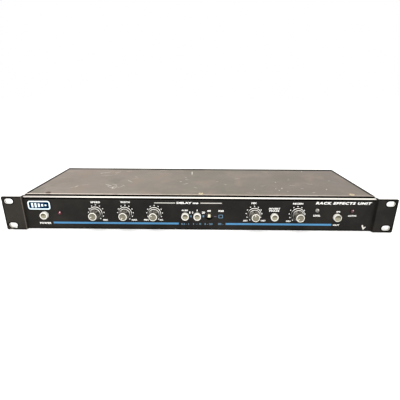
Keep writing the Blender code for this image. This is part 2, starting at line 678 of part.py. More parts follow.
def build_heatsink():
    """A comb of fins running back from a flat base, seen from above."""
    half_width, depth, height = 15, 14, 22
    fin_count, pitch, thickness = 5, 7.0, 2.0
    outline = [(-half_width, 0), (half_width, 0)]
    for i in range(fin_count):
        right = half_width - i * pitch
        left = right - thickness
        outline += [(right, depth), (left, depth), (left, thickness)]
        if i < fin_count - 1:
            outline.append((right - pitch, thickness))
    mesh = outline_mesh(outline, height, "XY", (165.0, 100.0, BOARD_TOP + height / 2))
    add("regulator_heatsink", mesh, "sink_black")


def chip(name, x, y, length, width):
    """A chip with a round notch in the top of its left end."""
    left = x - length / 2
    body = box_mesh((left, y - width / 2, BOARD_TOP),
                    (x + length / 2, y + width / 2, BOARD_TOP + 4.0), 0.3)
    notch = rod_mesh("Z", BOARD_TOP + 3.0, BOARD_TOP + 6, left, y, 1.5, 12)
    cut(add(name, body, "chip_black"), name + "_notch", notch)


# ---------------------------------------------------------------- rear connectors
def rear_jack(name, x):
    """A square housing with a bush, a hexagonal nut and a blind bore."""
    half_x, half_z = 8, 8.5
    mesh = box_mesh((x - half_x, 124.5, JACK_Z - half_z),
                    (x + half_x, REAR_Y0 - GAP, JACK_Z + half_z), 0.4)
    jack = add(name, mesh, "jack_black")
    join(jack, name + "_bush", rod_mesh("Y", REAR_Y0 - 4, 152.6, x, JACK_Z, 4.6, 16))
    nut = rod_mesh("Y", REAR_Y1 + GAP, 150.4, x, JACK_Z, 7.2, 6, turn=math.pi / 6)
    join(jack, name + "_nut", nut)
    cut(jack, name + "_bore", rod_mesh("Y", 128.0, 156.0, x, JACK_Z, 3.3, 16))


def build_fuse_holder():
    """A round holder through the rear panel, with a slot across its cap."""
    profile = [            # radius, height from the inner end
        (0, 30.4), (6.6, 30.4), (7.2, 29.8), (7.2, 22.4), (5.9, 22.4),
        (5.9, 20.3), (6.6, 20.3), (6.6, 0), (0, 0),
    ]
    fuse = turned("fuse_holder", "jack_black", profile, (FUSE_X, REAR_Y1 - 22.1, FUSE_Z),
                  "rear", 16)
    cut(fuse, "fuse_slot", box_mesh((FUSE_X - 4.5, REAR_Y1 + 7.0, FUSE_Z - 0.7),
                                    (FUSE_X + 4.5, REAR_Y1 + 12.0, FUSE_Z + 0.7)))


INLET_PINS = ((-7.0, -1.0), (0.0, 2.0), (7.0, -1.0))       # X, Z from the inlet's centre


def build_inlet():
    """A flange and body around an open pocket with three pins."""
    def block(half_x, half_z, y0, y1, bevel=0.0, shift=(0.0, 0.0)):
        x, z = INLET_X + shift[0], INLET_Z + shift[1]
        return box_mesh((x - half_x, y0, z - half_z), (x + half_x, y1, z + half_z), bevel)

    flange = block(24, 11.3, REAR_Y1 + GAP, REAR_Y1 + 2.8, 0.5)
    inlet = add("mains_inlet", flange, "jack_black")
    join(inlet, "inlet_body", block(INLET_BODY_X, INLET_BODY_Z, 126.0, REAR_Y1 + 1.5))
    cut(inlet, "inlet_pocket", block(12, 8.0, 131.0, REAR_Y1 + 6.0))
    pins = [block(1.0, 2.0, 129.5, 145.0, shift=place) for place in INLET_PINS]
    join(inlet, "inlet_pins", merged(pins))


# ---------------------------------------------------------------- assembly
build_front_panel()
build_badge()
build_tray()
build_cover()
build_rear_panel()
build_cover_screws()
for name, x, pointer in KNOBS:
    potentiometer(name, x)
    control_knob(name, x, pointer)
build_buttons()
for led in LEDS:
    indicator_lamp(*led)
build_board()
build_transformer()
build_capacitor()
build_heatsink()
chip("memory_chip", x=-10.0, y=80.0, length=51.0, width=14.0)
chip("converter_chip", x=90.0, y=80.0, length=36.0, width=9.0)
for name, x in JACKS:
    rear_jack(name, x)
build_fuse_holder()
build_inlet()

for piece in MODEL.objects:
    if piece.type == "MESH" and piece.data.polygons:
        piece.data.shade_smooth()
        piece.data.set_sharp_from_angle(angle=math.radians(30))
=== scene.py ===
"""A one-unit rack effects unit: finishes, printed legends and fine meshes around the CAD frame.

The unit lies flat with its width along X and its height along Z. The control face looks
towards -Y and the rear panel towards +Y. The frame is in metres; profiles, outlines and
tables are in millimetres, and places inside the finishes are in metres.
"""
import json
import math
from fnmatch import fnmatchcase
from functools import cached_property

import bmesh
import bpy
from mathutils import Matrix, Vector


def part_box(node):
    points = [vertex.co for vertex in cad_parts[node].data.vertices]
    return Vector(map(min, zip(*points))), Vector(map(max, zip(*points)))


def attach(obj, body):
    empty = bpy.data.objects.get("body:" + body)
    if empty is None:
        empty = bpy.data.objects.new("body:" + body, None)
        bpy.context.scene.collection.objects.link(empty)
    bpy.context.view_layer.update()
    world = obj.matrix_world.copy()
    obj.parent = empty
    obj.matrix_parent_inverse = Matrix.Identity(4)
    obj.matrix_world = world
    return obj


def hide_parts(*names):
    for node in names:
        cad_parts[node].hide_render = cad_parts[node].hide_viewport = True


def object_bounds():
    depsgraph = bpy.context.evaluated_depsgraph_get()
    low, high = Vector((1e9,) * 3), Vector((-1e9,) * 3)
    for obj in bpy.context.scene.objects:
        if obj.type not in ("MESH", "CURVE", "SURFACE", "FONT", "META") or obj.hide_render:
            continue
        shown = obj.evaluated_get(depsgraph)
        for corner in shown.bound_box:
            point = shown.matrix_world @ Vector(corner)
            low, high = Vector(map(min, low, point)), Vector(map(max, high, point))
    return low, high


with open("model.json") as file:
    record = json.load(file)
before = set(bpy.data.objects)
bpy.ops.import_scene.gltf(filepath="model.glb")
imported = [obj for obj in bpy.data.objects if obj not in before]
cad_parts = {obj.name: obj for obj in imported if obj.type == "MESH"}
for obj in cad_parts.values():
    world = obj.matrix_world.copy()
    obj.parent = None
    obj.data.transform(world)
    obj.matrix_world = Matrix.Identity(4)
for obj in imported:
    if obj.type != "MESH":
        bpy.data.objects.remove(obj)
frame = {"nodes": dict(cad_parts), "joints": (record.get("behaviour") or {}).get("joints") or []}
CAD_BOX = [list(map(float, corner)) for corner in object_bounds()]
NODES = frame["nodes"]
HINGES = [joint for joint in frame["joints"] if joint["type"] == "hinge"]
MM = 0.001

# Planes read from the frame.
EAR_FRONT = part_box("front_panel")[0].y       # front plane of the ears
FACE_Y = EAR_FRONT + 4.0 * MM                # control face
COVER_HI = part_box("top_cover")[1]
TOP_FRONT = EAR_FRONT + 13.2 * MM            # front edge of the cover's top sheet
REAR_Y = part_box("rear_panel")[1].y

# Colours shared between finishes.
# PANEL_LIGHT and COVER_LEFT are partly painted light: the light falls stronger at the left.
PANEL_DARK, PANEL_LIGHT = (0.0075, 0.0070, 0.0064), (0.0245, 0.0212, 0.0172)
COVER_LEFT, COVER_MID = (0.240, 0.197, 0.171), (0.166, 0.146, 0.118)
COVER_RIGHT = (0.162, 0.135, 0.117)


# ------------------------------------------------------------------ shader helpers
def add_node(tree, kind, **settings):
    node = tree.nodes.new(kind)
    for key, value in settings.items():
        setattr(node, key, value)
    return node


def feed(socket, value):
    """Links a signal to a socket, or sets a plain value on it."""
    if isinstance(value, Signal):
        socket.id_data.links.new(value.socket, socket)
    elif isinstance(value, tuple) and socket.type == "RGBA":
        socket.default_value = (*value, 1.0)
    else:
        socket.default_value = value


class Signal:
    """The output of a shader node. Arithmetic on it adds nodes; a | b is the larger of two."""

    def __init__(self, socket):
        self.socket = socket
        self.tree = socket.id_data

    def math(self, operation, *operands, clamp=False):
        node = add_node(self.tree, "ShaderNodeMath", operation=operation, use_clamp=clamp)
        for socket, value in zip(node.inputs, operands):
            feed(socket, value)
        return Signal(node.outputs[0])

    def __add__(self, other):
        return self.math("ADD", self, other)

    def __sub__(self, other):
        return self.math("SUBTRACT", self, other)

    def __rsub__(self, other):
        return self.math("SUBTRACT", other, self)

    def __mul__(self, other):
        return self.math("MULTIPLY", self, other)

    def __or__(self, other):
        return self.math("MAXIMUM", self, other)

    def __abs__(self):
        return self.math("ABSOLUTE", self)

    def vector(self, operation, *operands, scale=None):
        node = add_node(self.tree, "ShaderNodeVectorMath", operation=operation)
        for socket, value in zip(node.inputs, operands):
            feed(socket, value)
        if scale is not None:
            feed(node.inputs["Scale"], scale)
        is_number = operation in ("LENGTH", "DOT_PRODUCT")
        return Signal(node.outputs["Value" if is_number else "Vector"])

    def length(self):
        return self.vector("LENGTH", self)

    def split(self):
        node = add_node(self.tree, "ShaderNodeSeparateXYZ")
        feed(node.inputs[0], self)
        return [Signal(socket) for socket in node.outputs]

    def ramp(self, low, high, to=(0.0, 1.0)):
        """Goes smoothly between the values in `to` as the signal goes from low to high."""
        node = add_node(self.tree, "ShaderNodeMapRange", interpolation_type="SMOOTHSTEP", clamp=True)
        feed(node.inputs["Value"], self)
        limits = {"From Min": low, "From Max": high, "To Min": to[0], "To Max": to[1]}
        for key, value in limits.items():
            feed(node.inputs[key], value)
        return Signal(node.outputs["Result"])

    def fall(self, low, high):
        """1 below low and 0 above high."""
        return self.ramp(low, high, to=(1.0, 0.0))

    def band(self, low, high, soft=0.0001):
        """1 while the signal is between low and high."""
        return self.ramp(low - soft, low + soft) * self.fall(high - soft, high + soft)

    def mix(self, start, end):
        """A colour that is start where the signal is 0 and end where it is 1."""
        node = add_node(self.tree, "ShaderNodeMix", data_type="RGBA", blend_type="MIX")
        factor, first, second = node.inputs[0], node.inputs[6], node.inputs[7]
        feed(factor, self)
        feed(first, start)
        feed(second, end)
        return Signal(node.outputs[2])

    def blend(self, start, end):
        """A number that is start where the signal is 0 and end where it is 1."""
        return self * self.math("SUBTRACT", end, start) + start

    def bump(self, distance, strength):
        """A surface normal that takes the signal as height."""
        node = add_node(self.tree, "ShaderNodeBump")
        feed(node.inputs["Strength"], strength)
        feed(node.inputs["Distance"], distance)
        feed(node.inputs["Height"], self)
        return Signal(node.outputs["Normal"])


class Finish:
    """A small builder for one procedural material around a single Principled shader."""

    INPUTS = {"color": "Base Color", "roughness": "Roughness", "metallic": "Metallic",
              "normal": "Normal", "coat": "Coat Weight", "coat_roughness": "Coat Roughness",
              "specular": "Specular IOR Level", "emission": "Emission Color",
              "glow": "Emission Strength"}

    def __init__(self, name):
        self.material = bpy.data.materials.new(name)
        self.material.use_nodes = True
        self.tree = self.material.node_tree

    @cached_property
    def position(self):
        return Signal(add_node(self.tree, "ShaderNodeTexCoord").outputs["Object"])

    @cached_property
    def normal(self):
        return Signal(add_node(self.tree, "ShaderNodeNewGeometry").outputs["True Normal"])

    def stretched(self, factors, shift=(0, 0, 0)):
        """The position scaled along each axis and then moved."""
        node = add_node(self.tree, "ShaderNodeMapping")
        feed(node.inputs["Vector"], self.position)
        feed(node.inputs["Scale"], factors)
        feed(node.inputs["Location"], shift)
        return Signal(node.outputs["Vector"])

    def combine(self, *parts):
        node = add_node(self.tree, "ShaderNodeCombineXYZ")
        for socket, value in zip(node.inputs, parts):
            feed(socket, value)
        return Signal(node.outputs[0])

    def noise(self, scale, detail=3.0, rough=0.6, vector=None):
        node = add_node(self.tree, "ShaderNodeTexNoise")
        feed(node.inputs["Vector"], vector or self.position)
        feed(node.inputs["Scale"], scale)
        feed(node.inputs["Detail"], detail)
        feed(node.inputs["Roughness"], rough)
        return Signal(node.outputs["Fac"])

    def from_axis(self, centre):
        """The offset in the XZ plane from an axis that runs along Y."""
        offset = self.position.vector("SUBTRACT", self.position, centre)
        return offset.vector("MULTIPLY", offset, (1.0, 0.0, 1.0))

    def stroke(self, start, end, half_width, core=0.5):
        """1 along a straight line between two (x, z) points; it fades beyond the core."""
        flat = self.position.vector("MULTIPLY", self.position, (1.0, 0.0, 1.0))
        offset = flat.vector("SUBTRACT", flat, (start[0], 0.0, start[1]))
        line = Vector((end[0] - start[0], 0.0, end[1] - start[1]))
        dot = offset.vector("DOT_PRODUCT", offset, tuple(line))
        along = dot.math("DIVIDE", dot, line.length_squared, clamp=True)
        nearest = along.vector("SCALE", tuple(line), scale=along)
        return offset.vector("SUBTRACT", offset, nearest).length().fall(half_width * core, half_width)

    def apply(self, **values):
        shader = self.tree.nodes["Principled BSDF"]
        for key, value in values.items():
            feed(shader.inputs[self.INPUTS[key]], value)
        return self.material


def tinted(color, *factors):
    """A colour multiplied by one factor, or by one for each channel."""
    return tuple(channel * factor for channel, factor in zip(color, factors * 3))


# ------------------------------------------------------------------ finishes
def panel_paint():
    """Satin black enamel on aluminium: the long top chamfer and the slot walls are bare."""
    mat = Finish("finish_panel_black")
    x, y, z = mat.position.split()
    normal_x, normal_y, normal_z = mat.normal.split()
    across = abs(x)
    face_side = (0.2170, 0.2174)    # the face ends and the ear begins between these |x|
    ear_side = (0.2172, 0.2176)
    # mottled paint, with painted light: lighter towards the left and on the left ear, where the light
    # falls stronger; a little lighter low down
    mottle = mat.noise(35.0, detail=4.0)
    fine = mat.noise(900.0)
    left = x.ramp(-0.05, -0.24)
    low = z.ramp(0.030, 0.0)
    ears = across.ramp(0.2172, 0.2182)
    level = left * 0.24 + low * 0.03
    level = level + mottle.ramp(0.35, 0.7, to=(0.0, 0.40))
    level = level + ears * x.ramp(-0.2, 0.2, to=(0.50, 0.0))
    paint = level.mix(PANEL_DARK, PANEL_LIGHT)
    dust = mat.noise(260.0, detail=6.0, rough=0.72).ramp(0.60, 0.78)
    paint = (dust * 0.12).mix(paint, (0.16, 0.145, 0.12))
    # the walls of the step between ear and face catch the light
    step = (normal_x.ramp(0.45, 0.65) * across.band(0.2152, 0.2188)
            * (y - EAR_FRONT).fall(0.0014, 0.0020))
    paint = step.mix(paint, (0.120, 0.103, 0.088))
    # painted shade: a dark line under the top chamfer
    front = normal_y.fall(-0.6, -0.4)
    shade = z.band(0.0397, 0.0415, soft=0.0003) * front * across.fall(0.2166, 0.2170)
    paint = shade.mix(paint, (0.0008, 0.0007, 0.0006))
    # painted shade: dark outlines along the lower edge, around the ears' outline and around the slots
    edge_shade = (z.ramp(0.0016, 0.0008) | across.ramp(*ear_side) * z.ramp(0.0418, 0.0426)
             | across.ramp(0.2394, 0.2402))
    for side in (-1, 1):
        for slot_z in (0.005955, 0.037705):
            ends = (side * 0.23055, slot_z), (side * 0.23455, slot_z)
            edge_shade = edge_shade | mat.stroke(*ends, half_width=0.0050, core=0.84)
    edge_shade = edge_shade * front
    paint = (edge_shade * 0.95).mix(paint, (0.0010, 0.0009, 0.0008))
    # bare metal: top chamfer, slot walls, top edges of the ears, chips and rims
    grit = mat.noise(420.0, detail=5.0, rough=0.65)
    chamfer = (z.ramp(0.04150, 0.04170) * normal_z.ramp(0.25, 0.35)
               * normal_z.fall(0.90, 0.94) * across.fall(*face_side))
    slots = abs(normal_y).fall(0.35, 0.75) * across.band(0.2246, 0.2403) * z.band(0.0020, 0.0420)
    ear_top = normal_z.ramp(0.80, 0.90) * across.ramp(*ear_side)
    check = (mat.stroke((0.2053, 0.0072), (0.2071, 0.0030), half_width=0.00105, core=0.7)
             | mat.stroke((0.2071, 0.0030), (0.2092, 0.0052), half_width=0.00075, core=0.6))
    rub = mat.stroke((-0.2306, 0.0030), (-0.2290, 0.0026), half_width=0.0009)
    chips = (check | rub) * grit.ramp(0.34, 0.42) * front
    rim = z.ramp(0.0014, 0.0003) * mat.noise(190.0, detail=4.0, rough=0.7).ramp(0.62, 0.68)
    ear_wear = mat.noise(150.0, detail=4.0, rough=0.7)
    ear_rim = across.ramp(0.2407, 0.2412) * ear_wear.ramp(0.55, 0.62)
    bared = chamfer | slots | chips | rim | ear_rim | ear_top * 0.55
    grain = mat.noise(700.0, detail=2.0, rough=0.5, vector=mat.stretched((0.05, 1.0, 1.0)))
    metal = grain.mix((0.66, 0.64, 0.59), (0.80, 0.785, 0.73))
    middle_chamfer = chamfer * x.ramp(0.120, -0.020, to=(0.0, 0.55))
    metal = middle_chamfer.mix(metal, (0.50, 0.485, 0.445))
    metal = (chamfer * x.ramp(-0.120, -0.215)).mix(metal, (0.44, 0.40, 0.375))
    color = bared.mix(paint, metal)
    # painted shade: the flat top of the face behind the chamfer is painted near black and loses its
    # shine
    top = normal_z.ramp(0.90, 0.95) * across.fall(*face_side)
    color = top.mix(color, (0.010, 0.006, 0.004))
    height = mat.noise(2400.0, detail=2.0, rough=0.5) + bared * -1.2
    shine = bared.blend(0.11, 0.5)           # paint, bare metal
    return mat.apply(
        color=color,
        roughness=bared.blend(fine.ramp(0.2, 0.8, to=(0.40, 0.56)), 0.34),
        metallic=bared * 0.25,
        specular=shine * (1.0 - (top | shade | edge_shade * 0.8)),
        normal=height.bump(distance=0.00004, strength=0.45))


def cover_paint():
    """Grey-brown satin paint, rubbed from use; the grey-brown of the top is partly dust and fading
    and partly a painted sheen. The bends and sides are darker: painted shade on the bends and the
    rear strip, dark paint on the sides.
    """
    mat = Finish("finish_cover_paint")
    x, y, z = mat.position.split()
    _, normal_y, normal_z = mat.normal.split()
    across = abs(x)
    cloud = mat.noise(14.0, detail=5.0, rough=0.62)
    fine = mat.noise(420.0, detail=4.0, rough=0.65)
    speck = mat.noise(1500.0, rough=0.7)
    # painted sheen, lighter at the left where the light falls stronger; then clouds and specks
    base = x.ramp(-0.215, 0.0).mix(COVER_LEFT, COVER_MID)
    base = x.ramp(0.0, 0.215).mix(base, COVER_RIGHT)
    base = cloud.ramp(0.30, 0.72, to=(0.0, 0.45)).mix(base, tinted(COVER_MID, 0.84))
    base = fine.ramp(0.30, 0.75, to=(0.0, 0.30)).mix(base, tinted(COVER_MID, 1.30))
    base = speck.ramp(0.62, 0.75, to=(0.0, 0.30)).mix(base, tinted(COVER_MID, 0.55))
    # rubbed streaks running front to back and across
    lengthwise = mat.stretched((900.0, 16.0, 1.0))
    crosswise = mat.stretched((13.0, 800.0, 1.0), shift=(3.1, 7.7, 0.0))
    patchwise = mat.stretched((1, 1, 1), shift=(0.4, 0.2, 0.0))
    streaks = (mat.noise(1.0, rough=0.75, vector=lengthwise).ramp(0.66, 0.74)
               | mat.noise(1.0, rough=0.75, vector=crosswise).ramp(0.67, 0.75))
    streaks = streaks * mat.noise(22.0, vector=patchwise).ramp(0.50, 0.66)
    # warmer and cooler areas
    hue_place = mat.stretched((1.0, 0.7, 1.0), shift=(1.3, 0.9, 0.0))
    hue = mat.noise(30.0, detail=4.0, vector=hue_place)
    base = hue.ramp(0.52, 0.66, to=(0.0, 0.75)).mix(base, tinted(COVER_MID, 1.32, 1.18, 1.17))
    base = hue.ramp(0.46, 0.33, to=(0.0, 0.75)).mix(base, tinted(COVER_MID, 0.86, 0.91, 0.88))
    # soft rubbed haze, thickest left of the middle
    haze_place = mat.stretched((0.6, 1.5, 1.0), shift=(0.7, 0.1, 0.0))
    haze = mat.noise(48.0, detail=5.0, rough=0.7, vector=haze_place).ramp(0.52, 0.70)
    haze = haze * x.ramp(0.03, -0.10, to=(0.35, 1.0))
    base = (haze * 0.40).mix(base, tinted(COVER_MID, 1.75))
    # lighter strip behind the front edge
    near = (y - TOP_FRONT).ramp(0.008, 0.0)
    near = near * mat.noise(75.0, detail=4.0, rough=0.7).ramp(0.34, 0.60)
    base = (near * 0.35).mix(base, tinted(COVER_MID, 1.75, 1.60, 1.62))
    color = (streaks * 0.30).mix(base, tinted(COVER_MID, 2.1))
    # painted shade on the bends, along the rear strip and on the lower half of the front edge; the
    # sides are dark paint
    bend_shade = (COVER_HI.x - across).fall(0.0044, 0.0052)
    rear_shade = (COVER_HI.y - y).fall(0.0072, 0.0110)
    rear_shade_breakup = mat.noise(9.0, detail=2.0, rough=0.5, vector=mat.stretched((1.0, 0.0, 0.0)))
    rear_shade = rear_shade * rear_shade_breakup.ramp(0.40, 0.55, to=(0.72, 1.0))
    dark = bend_shade | rear_shade | z.ramp(0.04305, 0.04285)
    side = fine.ramp(0.2, 0.8).mix((0.0075, 0.0064, 0.0054), (0.0125, 0.0106, 0.0088))
    color = dark.mix(color, side)
    # cut front edge of the sheet, rubbed through to a pinkish primer, with a painted highlight along
    # it
    sheet_edge = (-0.0004, 0.0005)           # before and behind TOP_FRONT
    worn_edge_highlight = (normal_y.fall(-0.7, -0.5) * (y - TOP_FRONT).band(*sheet_edge)
            * z.ramp(0.04285, 0.04305))
    worn_edge_highlight = worn_edge_highlight | normal_z.ramp(0.5, 0.7) * (y - TOP_FRONT).band(*sheet_edge, soft=0.0002)
    worn = x.ramp(-0.11, -0.03).mix((0.94, 0.83, 0.75), (0.66, 0.58, 0.50))
    worn = x.ramp(0.05, 0.11).mix(worn, (0.76, 0.68, 0.62))
    worn = x.ramp(0.13, 0.19).mix(worn, (0.50, 0.43, 0.39))
    blotches = mat.noise(90.0, detail=4.0, rough=0.7).ramp(0.50, 0.70, to=(0.0, 0.5))
    worn = blotches.mix(worn, (0.20, 0.17, 0.145))
    height = mat.noise(1900.0, rough=0.55) + streaks * -0.9
    return mat.apply(
        color=worn_edge_highlight.mix(color, worn),
        roughness=(cloud * 0.6 + fine * 0.4).ramp(0.25, 0.75, to=(0.46, 0.62)),
        specular=(dark | worn_edge_highlight).blend(0.30, 0.03),
        normal=height.bump(distance=0.00005, strength=0.45))


def black_sheet():
    """Black painted sheet; the strip of it behind the front panel is painted near black with no
    shine, as painted shade in the gap.
    """
    mat = Finish("finish_black_sheet")
    _, y, z = mat.position.split()
    normal_z = mat.normal.split()[2]
    cloud = mat.noise(22.0, detail=4.0)
    dust = mat.noise(330.0, detail=6.0, rough=0.72).ramp(0.58, 0.76)
    color = cloud.ramp(0.3, 0.7).mix((0.012, 0.0115, 0.0105), (0.026, 0.024, 0.021))
    color = (dust * 0.20).mix(color, (0.17, 0.155, 0.13))
    scuffs = mat.noise(1.0, rough=0.75, vector=mat.stretched((15.0, 700.0, 700.0)))
    scuffs = scuffs.ramp(0.68, 0.75) * cloud.ramp(0.52, 0.62)
    color = (scuffs * 0.35).mix(color, (0.30, 0.28, 0.25))
    # painted shade in the gap behind the front panel
    gap = (normal_z.ramp(0.6, 0.8) * (y - EAR_FRONT).fall(0.0140, 0.0150)
           * z.ramp(0.035, 0.036))
    return mat.apply(
        color=gap.mix(color, (0.0010, 0.0005, 0.0003)),
        roughness=cloud.ramp(0.2, 0.8, to=(0.42, 0.58)),
        specular=gap.blend(0.22, 0.0),
        normal=mat.noise(1800.0).bump(distance=0.00005, strength=0.5))


def brushed_metal(name, dark, light, roughness, along=(1.0, 1.0, 1.0), grain=500.0, metallic=1.0):
    """Metal with a fine grain, stretched by `along`, and patches of tarnish."""
    mat = Finish(name)
    brushing = mat.noise(grain, vector=mat.stretched(along))
    tarnish = mat.noise(120.0, detail=4.0)
    color = brushing.ramp(0.3, 0.7).mix(dark, light)
    color = tarnish.ramp(0.55, 0.8, to=(0.0, 0.45)).mix(color, tinted(dark, 0.55))
    return mat.apply(
        color=color, metallic=metallic,
        roughness=tarnish.ramp(0.3, 0.8, to=(roughness, roughness + 0.18)),
        normal=brushing.bump(distance=0.00003, strength=0.4))


def plastic(name, dark, light, roughness, grain=1200.0, depth=0.00003, specular=0.5, coat=0.0):
    """Moulded or painted surface: clouded colour with fine lighter specks."""
    mat = Finish(name)
    cloud = mat.noise(90.0, detail=4.0)
    fine = mat.noise(grain)
    color = cloud.ramp(0.3, 0.75).mix(dark, light)
    specks = tuple(min(1.0, channel * 1.6 + 0.01) for channel in light)
    return mat.apply(
        color=fine.ramp(0.66, 0.8, to=(0.0, 0.25)).mix(color, specks),
        roughness=fine.ramp(0.3, 0.8, to=(roughness, roughness + 0.12)),
        specular=specular, coat=coat,
        normal=fine.bump(distance=depth, strength=0.4))


def lens(name, deep, rim, axis, glint):
    """Tinted epoxy of a lamp: its own colour in the middle and a painted highlight near the top."""
    mat = Finish(name)
    offset = mat.from_axis(axis)
    radial = offset.length().ramp(0.0004, 0.0026)
    cloud = mat.noise(900.0, detail=2.0, rough=0.5)
    color = (radial * cloud.ramp(0.2, 0.8, to=(0.7, 1.0))).mix(deep, rim)
    # painted highlight: a small glint near the top of the dome
    from_glint = offset.vector("SUBTRACT", offset, (0.0006, 0.0, 0.0014))
    color = from_glint.length().fall(0.0004, 0.0008).mix(color, glint)
    return mat.apply(color=color, roughness=0.18, specular=0.35, coat=0.25, coat_roughness=0.06,
                     normal=cloud.bump(distance=0.00001, strength=0.2))


def spun_disc(name, centre, dark, light, roughness, top_shadow=False):
    """Turned aluminium: fine rings around the middle; a disc with painted shadow is darker on top,
    where its rim shades the hollow.
    """
    mat = Finish(name)
    offset = mat.from_axis(centre)
    rings = mat.noise(5200.0, detail=2.0, vector=mat.combine(offset.length()))
    cloud = mat.noise(420.0, detail=4.0, rough=0.65)
    color = (rings * 0.6 + cloud * 0.4).ramp(0.3, 0.7).mix(dark, light)
    if top_shadow:
        # painted shadow from the upper rim
        rise = offset.split()[2] + (cloud - 0.5) * 0.002
        color = rise.ramp(0.0012, 0.0032, to=(0.0, 0.62)).mix(color, tinted(dark, 0.38))
    return mat.apply(
        color=color, metallic=0.05,
        roughness=cloud.ramp(0.3, 0.7, to=(roughness, roughness + 0.15)),
        normal=rings.bump(distance=0.00002, strength=0.5))


def knob_finish(name, centre, base):
    """Black moulding: grey streaks on the grip, partly dust and partly painted sheen, and painted
    highlights on the upper side of the skirt's rim and the collar.
    """
    mat = Finish("finish_knob_" + name)
    offset = mat.from_axis(centre)
    radius = offset.length()
    height = base - mat.position.split()[1]  # forward of the knob's back plane
    right, _, rise = offset.split()
    # painted light: stronger towards the upper right
    upper = (rise + right * 0.35).ramp(-0.0010, 0.0060, to=(0.12, 1.0))
    grit = mat.noise(700.0, detail=4.0, rough=0.65)
    cloud = mat.noise(90.0, detail=4.0)
    grip = height.ramp(0.0043, 0.0048)
    around = mat.combine(right.math("ARCTAN2", right, rise), height * 60.0)
    streak = mat.noise(1.5, rough=0.7, vector=around).ramp(0.42, 0.60)
    # grey streaks on the grip: partly dust, partly painted sheen on the flutes
    rubbed_and_sheen = grip * streak * grit.ramp(0.30, 0.62, to=(0.6, 1.0))
    grip_color = cloud.ramp(0.3, 0.75).mix((0.022, 0.020, 0.017), (0.042, 0.038, 0.032))
    color = grip.mix((0.0030, 0.0028, 0.0026), grip_color)
    color = rubbed_and_sheen.mix(color, (0.240, 0.225, 0.198))
    # painted highlights on the collar and the skirt's rim
    collar_highlight = (height.band(0.0041, 0.0046) * radius.band(0.00620, 0.0073)
              * grit.ramp(0.26, 0.50, to=(0.6, 1.0)))
    skirt_highlight = (radius.ramp(0.00780, 0.00790) * height.ramp(0.00205, 0.00215)
             * grit.ramp(0.26, 0.50, to=(0.7, 1.0)))
    color = ((collar_highlight | skirt_highlight) * upper).mix(color, (0.93, 0.91, 0.86))
    return mat.apply(color=color, roughness=grit.ramp(0.3, 0.8, to=(0.34, 0.48)), specular=0.10,
                     normal=mat.noise(900.0).bump(distance=0.00003, strength=0.4))


def dish_finish(name, centre):
    """The thumb dish of a button, with painted shade darkening it towards its top."""
    mat = Finish("finish_dish_" + name)
    rise = mat.position.split()[2] - centre[2]
    grit = mat.noise(900.0, detail=4.0, rough=0.65)
    shade = rise.ramp(-0.0026, 0.0028) + (grit - 0.5) * 0.5
    color = shade.ramp(0.15, 0.85).mix((0.310, 0.295, 0.215), (0.105, 0.096, 0.066))
    return mat.apply(color=color, roughness=0.45, specular=0.25,
                     normal=grit.bump(distance=0.00002, strength=0.3))


def ink(name, color, worn):
    """Screen-printed ink with slightly rubbed, uneven cover."""
    mat = Finish(name)
    patch = mat.noise(1100.0, detail=4.0, rough=0.65).ramp(0.28, 0.50)
    fine = mat.noise(3000.0, detail=2.0, rough=0.5)
    return mat.apply(color=patch.mix(worn, color), roughness=0.45, specular=0.35,
                     normal=fine.bump(distance=0.00001, strength=0.3))


# Metals and plastics take their dark and light colours; inks their full and rubbed ones.
PANEL = panel_paint()
COVER = cover_paint()
SHEET = black_sheet()
YELLOW_ZINC = brushed_metal("finish_yellow_zinc", (0.50, 0.40, 0.25), (0.74, 0.64, 0.46),
                            roughness=0.36, grain=900.0, metallic=0.55)
TARNISHED = brushed_metal("finish_tarnished_zinc", (0.055, 0.028, 0.018), (0.125, 0.070, 0.048),
                          roughness=0.45, grain=900.0, metallic=0.2)
RECESS = plastic("finish_screw_recess", (0.10, 0.05, 0.015), (0.20, 0.11, 0.04),
                 roughness=0.5, grain=900.0, depth=0.00002, specular=0.2)
PLATED = brushed_metal("finish_plated_steel", (0.46, 0.45, 0.42), (0.66, 0.65, 0.61),
                       roughness=0.32)
NICKEL = brushed_metal("finish_nickel", (0.52, 0.50, 0.46), (0.74, 0.72, 0.67),
                       roughness=0.24, grain=1400.0)
LAMINATION = brushed_metal("finish_laminations", (0.10, 0.095, 0.09), (0.26, 0.25, 0.23),
                           roughness=0.45, along=(1.0, 26.0, 1.0), grain=120.0, metallic=0.8)
HEATSINK = brushed_metal("finish_black_anodised", (0.014, 0.014, 0.015), (0.04, 0.04, 0.042),
                         roughness=0.42, along=(1.0, 1.0, 0.1), grain=900.0, metallic=0.6)
TAPE = plastic("finish_winding_tape", (0.44, 0.30, 0.05), (0.66, 0.48, 0.12),
               roughness=0.38, grain=500.0)
SLEEVE = plastic("finish_capacitor_sleeve", (0.012, 0.022, 0.10), (0.025, 0.045, 0.17),
                 roughness=0.26, grain=800.0)
SOLDER_MASK = plastic("finish_circuit_board", (0.012, 0.075, 0.030), (0.024, 0.125, 0.050),
                      roughness=0.32, grain=260.0)
CHIP = plastic("finish_chip", (0.010, 0.010, 0.011), (0.022, 0.022, 0.023),
               roughness=0.44, grain=1600.0)
NYLON = plastic("finish_black_nylon", (0.010, 0.010, 0.0105), (0.026, 0.025, 0.024),
                roughness=0.40, grain=1300.0)
SWITCH = plastic("finish_switch_body", (0.10, 0.10, 0.095), (0.17, 0.17, 0.16), roughness=0.46)
BADGE = plastic("finish_badge_blue", (0.0, 0.0130, 0.046), (0.0, 0.0190, 0.062),
                roughness=0.30, grain=1500.0, depth=0.00001, specular=0.0)
CREAM = plastic("finish_button_cream", (0.70, 0.69, 0.63), (0.84, 0.83, 0.78),
                roughness=0.32, grain=1400.0, depth=0.00001, specular=0.4, coat=0.1)
